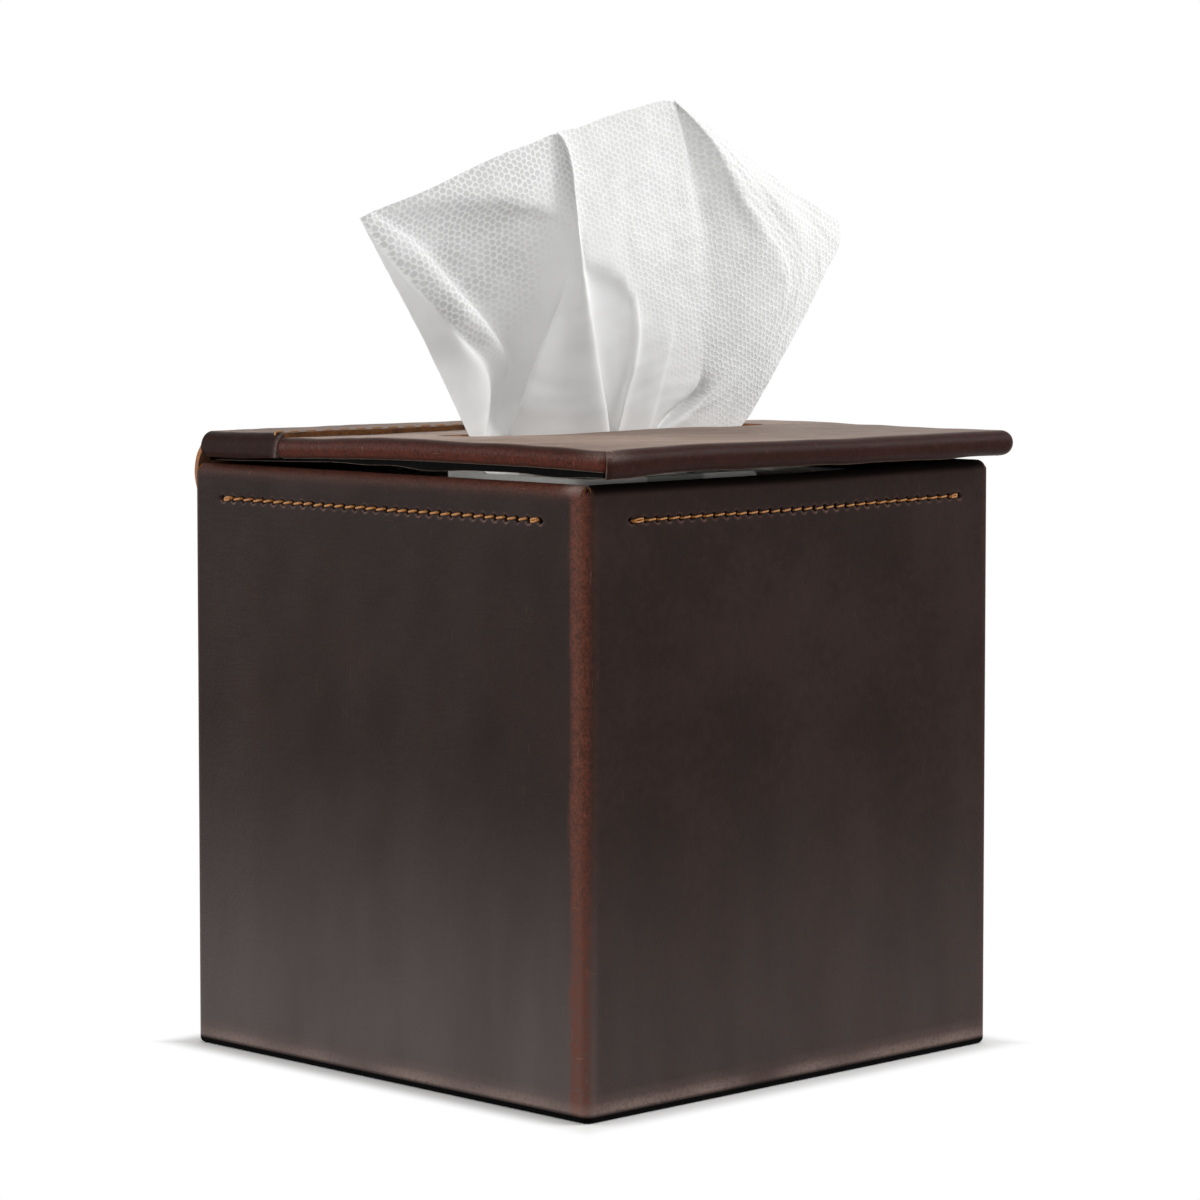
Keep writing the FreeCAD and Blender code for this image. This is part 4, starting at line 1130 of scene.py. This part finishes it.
def on_sheet(px, py, out):
    """Where a pixel's line of sight meets the raised sheet's plane, which turns as it leaves the slot."""
    forward = np.array([math.sin(YAW) * math.cos(PITCH), math.cos(YAW) * math.cos(PITCH), -math.sin(PITCH)])
    right = np.array([math.cos(YAW), -math.sin(YAW), 0.0])
    up = np.cross(right, forward)
    focal = LENS / SENSOR * FRAME_PIXELS
    ray = forward * focal + right * (px - FRAME_PIXELS / 2) - up * (py - FRAME_PIXELS * (0.5 + SHIFT))
    curl = max(0.0, (CURL_LEFT - px) / 180) ** 1.5 + max(0.0, (px - CURL_RIGHT) / 75) ** 1.5
    out -= CURL_DEPTH * curl * float(smooth((CURL_FOOT - py) / 100))
    spot = np.array([0.0, 0.0, LID_TOP + 40])               # a first guess, mended by each round
    for _ in range(6):
        angle = SHEET_TURN * float(smooth((spot[2] - LID_TOP) / SHEET_TURN_RISE))
        normal = np.array([-math.sin(angle), -math.cos(angle), 0.0])
        middle = np.array([0.0, SHEET_Y, 0.0])
        spot = CAMERA + ray * ((out - (CAMERA - middle) @ normal) / (ray @ normal))
    return spot


def make_tissue():
    """The raised tissue: a fan of folds above the slot, and its slack, pleated up in the carton's mouth."""
    levels = 120
    lines = [np.array([on_sheet(*spot) for spot in line]) for _, _, line in FOLDS]
    ribs = np.array([curve_through(line, even_spots(line, levels)) for line in lines])
    widths = np.linalg.norm(np.diff(ribs, axis=0), axis=2).mean(1)
    spots = [0.0]
    for k, width in enumerate(widths):
        count = max(5, int(round(width / 0.75)))
        spots += list(k + np.arange(1, count + 1) / count)
    spots = np.array(spots)
    fan = curve_through(ribs, spots).transpose(1, 0, 2)              # levels, columns, xyz
    bare = np.interp(spots, np.arange(len(ribs)), [bare for _, bare, _ in FOLDS])

    # below the slot the sheet hangs straight, then gathers in flat pleats
    foot = fan[0]
    tail = []
    pleats, depth, bottom, top = 6, 4.0, 123.0, 136.0
    for t in np.linspace(1, 0, 61)[:-1]:
        z = bottom + (top - bottom) * (1 - t)
        phase = (1 - t) * pleats * math.pi + 0.9 * np.sin(foot[:, 0] / 17 + 1.3)
        narrow = 1 - 0.06 * t
        y = SHEET_Y + (foot[:, 1] - SHEET_Y) * (1 - 0.7 * t) - depth * np.sin(phase) * smooth(t * 6)
        tail.append(np.column_stack([foot[:, 0] * narrow, y + 0.3 * np.sin(foot[:, 0] / 5 + phase),
                                     np.full(len(foot), z) + 0.4 * np.sin(foot[:, 0] / 9 + 2 * phase)]))
    tail += [level(foot[:, :2], z) for z in (136.6, 138.0, 139.5)]
    points = np.concatenate([np.array(tail), fan])
    rows, columns = points.shape[:2]
    height = np.concatenate([np.linspace(-0.5, -0.01, len(tail)), np.linspace(0, 1, levels)])

    # soft crumples, and the place in the sheet's own plane for the embossing
    run = distance_along(fan[int(levels * 0.66)])
    drop = np.linalg.norm(np.diff(points, axis=0), axis=2)
    below_top = np.concatenate([np.cumsum(drop[::-1], axis=0)[::-1], np.zeros((1, columns))])
    crumple = 0.10 * swell(run[None], below_top, 16, 61) + 0.05 * swell(run[None], below_top, 6, 62)
    facing = np.array([-math.sin(SHEET_TURN), -math.cos(SHEET_TURN), 0])
    points += (crumple * smooth((height[:, None] - 0.02) / 0.1))[..., None] * facing
    across = points @ np.array([math.cos(SHEET_TURN), -math.sin(SHEET_TURN), 0])
    ridge = int(np.argmin(np.abs(spots - CONE_RIB - 1)))
    across -= across[:, ridge].mean()
    rise = points[..., 2] - LID_TOP
    cell = np.interp(spots, [CONE_RIB, CONE_RIB + 1], [1.55, 1.5])    # embossed cells, each side of the cone
    tilt = math.radians(20)
    u = across * math.cos(tilt) - rise * math.sin(tilt)
    v = across * math.sin(tilt) + rise * math.cos(tilt)
    uv = (np.stack([u, v], -1) / cell[None, :, None]).reshape(-1, 2)
    emboss = smooth((height[:, None] - bare[None] + 0.12) / 0.34)
    # how strongly painted shade greys the embossed dimples, each side of the cone
    painted_cell_shade = np.broadcast_to(np.interp(spots, [CONE_RIB, CONE_RIB + 1], [0.55, 0.28]), (rows, columns))
    values = {"emboss": emboss, "painted_cell_shade": painted_cell_shade}
    piece = make_piece("raised_tissue", points, grid_faces(rows, columns), [TISSUE], None, values,
                       closed=False, sharp=180)
    layer = piece.data.uv_layers.new(name="sheet")
    corners = np.zeros(len(piece.data.loops), np.int32)
    piece.data.loops.foreach_get("vertex_index", corners)
    layer.data.foreach_set("uv", uv[corners].ravel().astype(np.float32))
    thicken(piece, 0.22, offset=0.0, back=0, rim=0, even=False)
    piece.data.shade_smooth()
    stand_for(piece, "pull_tissue", None)
    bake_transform(piece)


# ---- carried-over CAD nodes

def dress_cad_nodes():
    """Give the CAD pieces that stay their materials."""
    for node, material in (("base_board", BOARD), ("bottom_panel", WALL_LEATHER), ("seam_strip", SUEDE)):
        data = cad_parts[node].data
        data.materials.clear()
        data.materials.append(material)


# ---- the studio

def seen_directly(g):
    """1 where a ray from the camera, a reflection or a transmission arrives."""
    path = g.nodes.new("ShaderNodeLightPath")
    total = g.plus(path.outputs["Is Camera Ray"], path.outputs["Is Glossy Ray"])
    return g.plus(total, path.outputs["Is Transmission Ray"], clamp=True)


def show_white(g, share, plain, white, output):
    """Send a share of the white shader and the rest of the plain one to the output."""
    mix = g.node("ShaderNodeMixShader", {"Fac": share, 1: plain.outputs[0], 2: white.outputs[0]})
    g.links.new(mix.outputs[0], g.nodes[output].inputs["Surface"])


def make_floor():
    """A pale floor that keeps the shadow close to the box and runs out to the white backdrop."""
    size = 3000.0
    edge = np.linspace(-size, size, 13)
    x, y = np.meshgrid(edge, edge, indexing="xy")
    points = np.stack([x, y, np.zeros(x.shape)], -1)
    g = Graph("studio_floor")
    place = g.millimetres()
    parts = g.node("ShaderNodeSeparateXYZ", {"Vector": place}).outputs
    away = g.math("MAXIMUM", g.math("ABSOLUTE", parts["X"]), g.math("ABSOLUTE", parts["Y"]))
    open_floor = g.span(away, HALF + 0.6, HALF + 9.0)
    mottle = g.noise(place, 0.02, 2.0)
    tone = g.blend(mottle, "#f2f2f2", "#f6f6f6")
    g.shade(Base_Color=tone, Roughness=0.9)
    glow = g.node("ShaderNodeEmission", {"Color": (1, 1, 1, 1), "Strength": 1.0})
    show_white(g, g.times(open_floor, seen_directly(g)), g.surface, glow, "Material Output")
    floor = make_piece("floor", points, grid_faces(13, 13), [g.material], closed=False)


def make_world():
    """Even light from all round, and white where the camera or a reflection sees it."""
    world = bpy.context.scene.world = bpy.data.worlds.new("studio")
    g = Graph(world=world)
    light = g.nodes["Background"]
    g.feed(light.inputs["Color"], (1.0, 0.995, 0.985, 1))
    g.feed(light.inputs["Strength"], 0.62)
    white = g.node("ShaderNodeBackground", {"Color": (1, 1, 1, 1), "Strength": 1.0})
    show_white(g, seen_directly(g), light, white, "World Output")


def make_lamp(name, place, target, size, watts):
    lamp = bpy.data.lights.new(name, "AREA")
    lamp.shape = "DISK"
    lamp.size = size
    lamp.energy = watts
    holder = bpy.data.objects.new(name, lamp)
    holder.location = place
    holder.rotation_euler = (Vector(target) - Vector(place)).to_track_quat("-Z", "Y").to_euler()
    bpy.context.scene.collection.objects.link(holder)


def make_camera():
    camera = bpy.data.cameras.new("camera")
    camera.lens, camera.sensor_width, camera.shift_y = LENS, SENSOR, SHIFT
    camera.clip_start, camera.clip_end = 0.05, 50
    holder = bpy.data.objects.new("camera", camera)
    holder.location = CAMERA * MM
    holder.rotation_euler = (math.pi / 2 - PITCH, 0, -YAW)
    bpy.context.scene.collection.objects.link(holder)
    bpy.context.scene.camera = holder


make_camera()
make_walls()
make_wall_stitches()
make_lid()
make_lining()
make_flap()
make_flap_stitches()
make_carton()
make_stack()
make_tissue()
dress_cad_nodes()
make_floor()
make_world()
make_lamp("key", (0.96, -0.92, 0.98), (0, 0, 0.1), 0.9, 14.3)
make_lamp("fill", (-0.75, 1.0, 0.35), (0, 0, 0.07), 0.9, 7.6)
bpy.context.scene.view_settings.view_transform = "Standard"
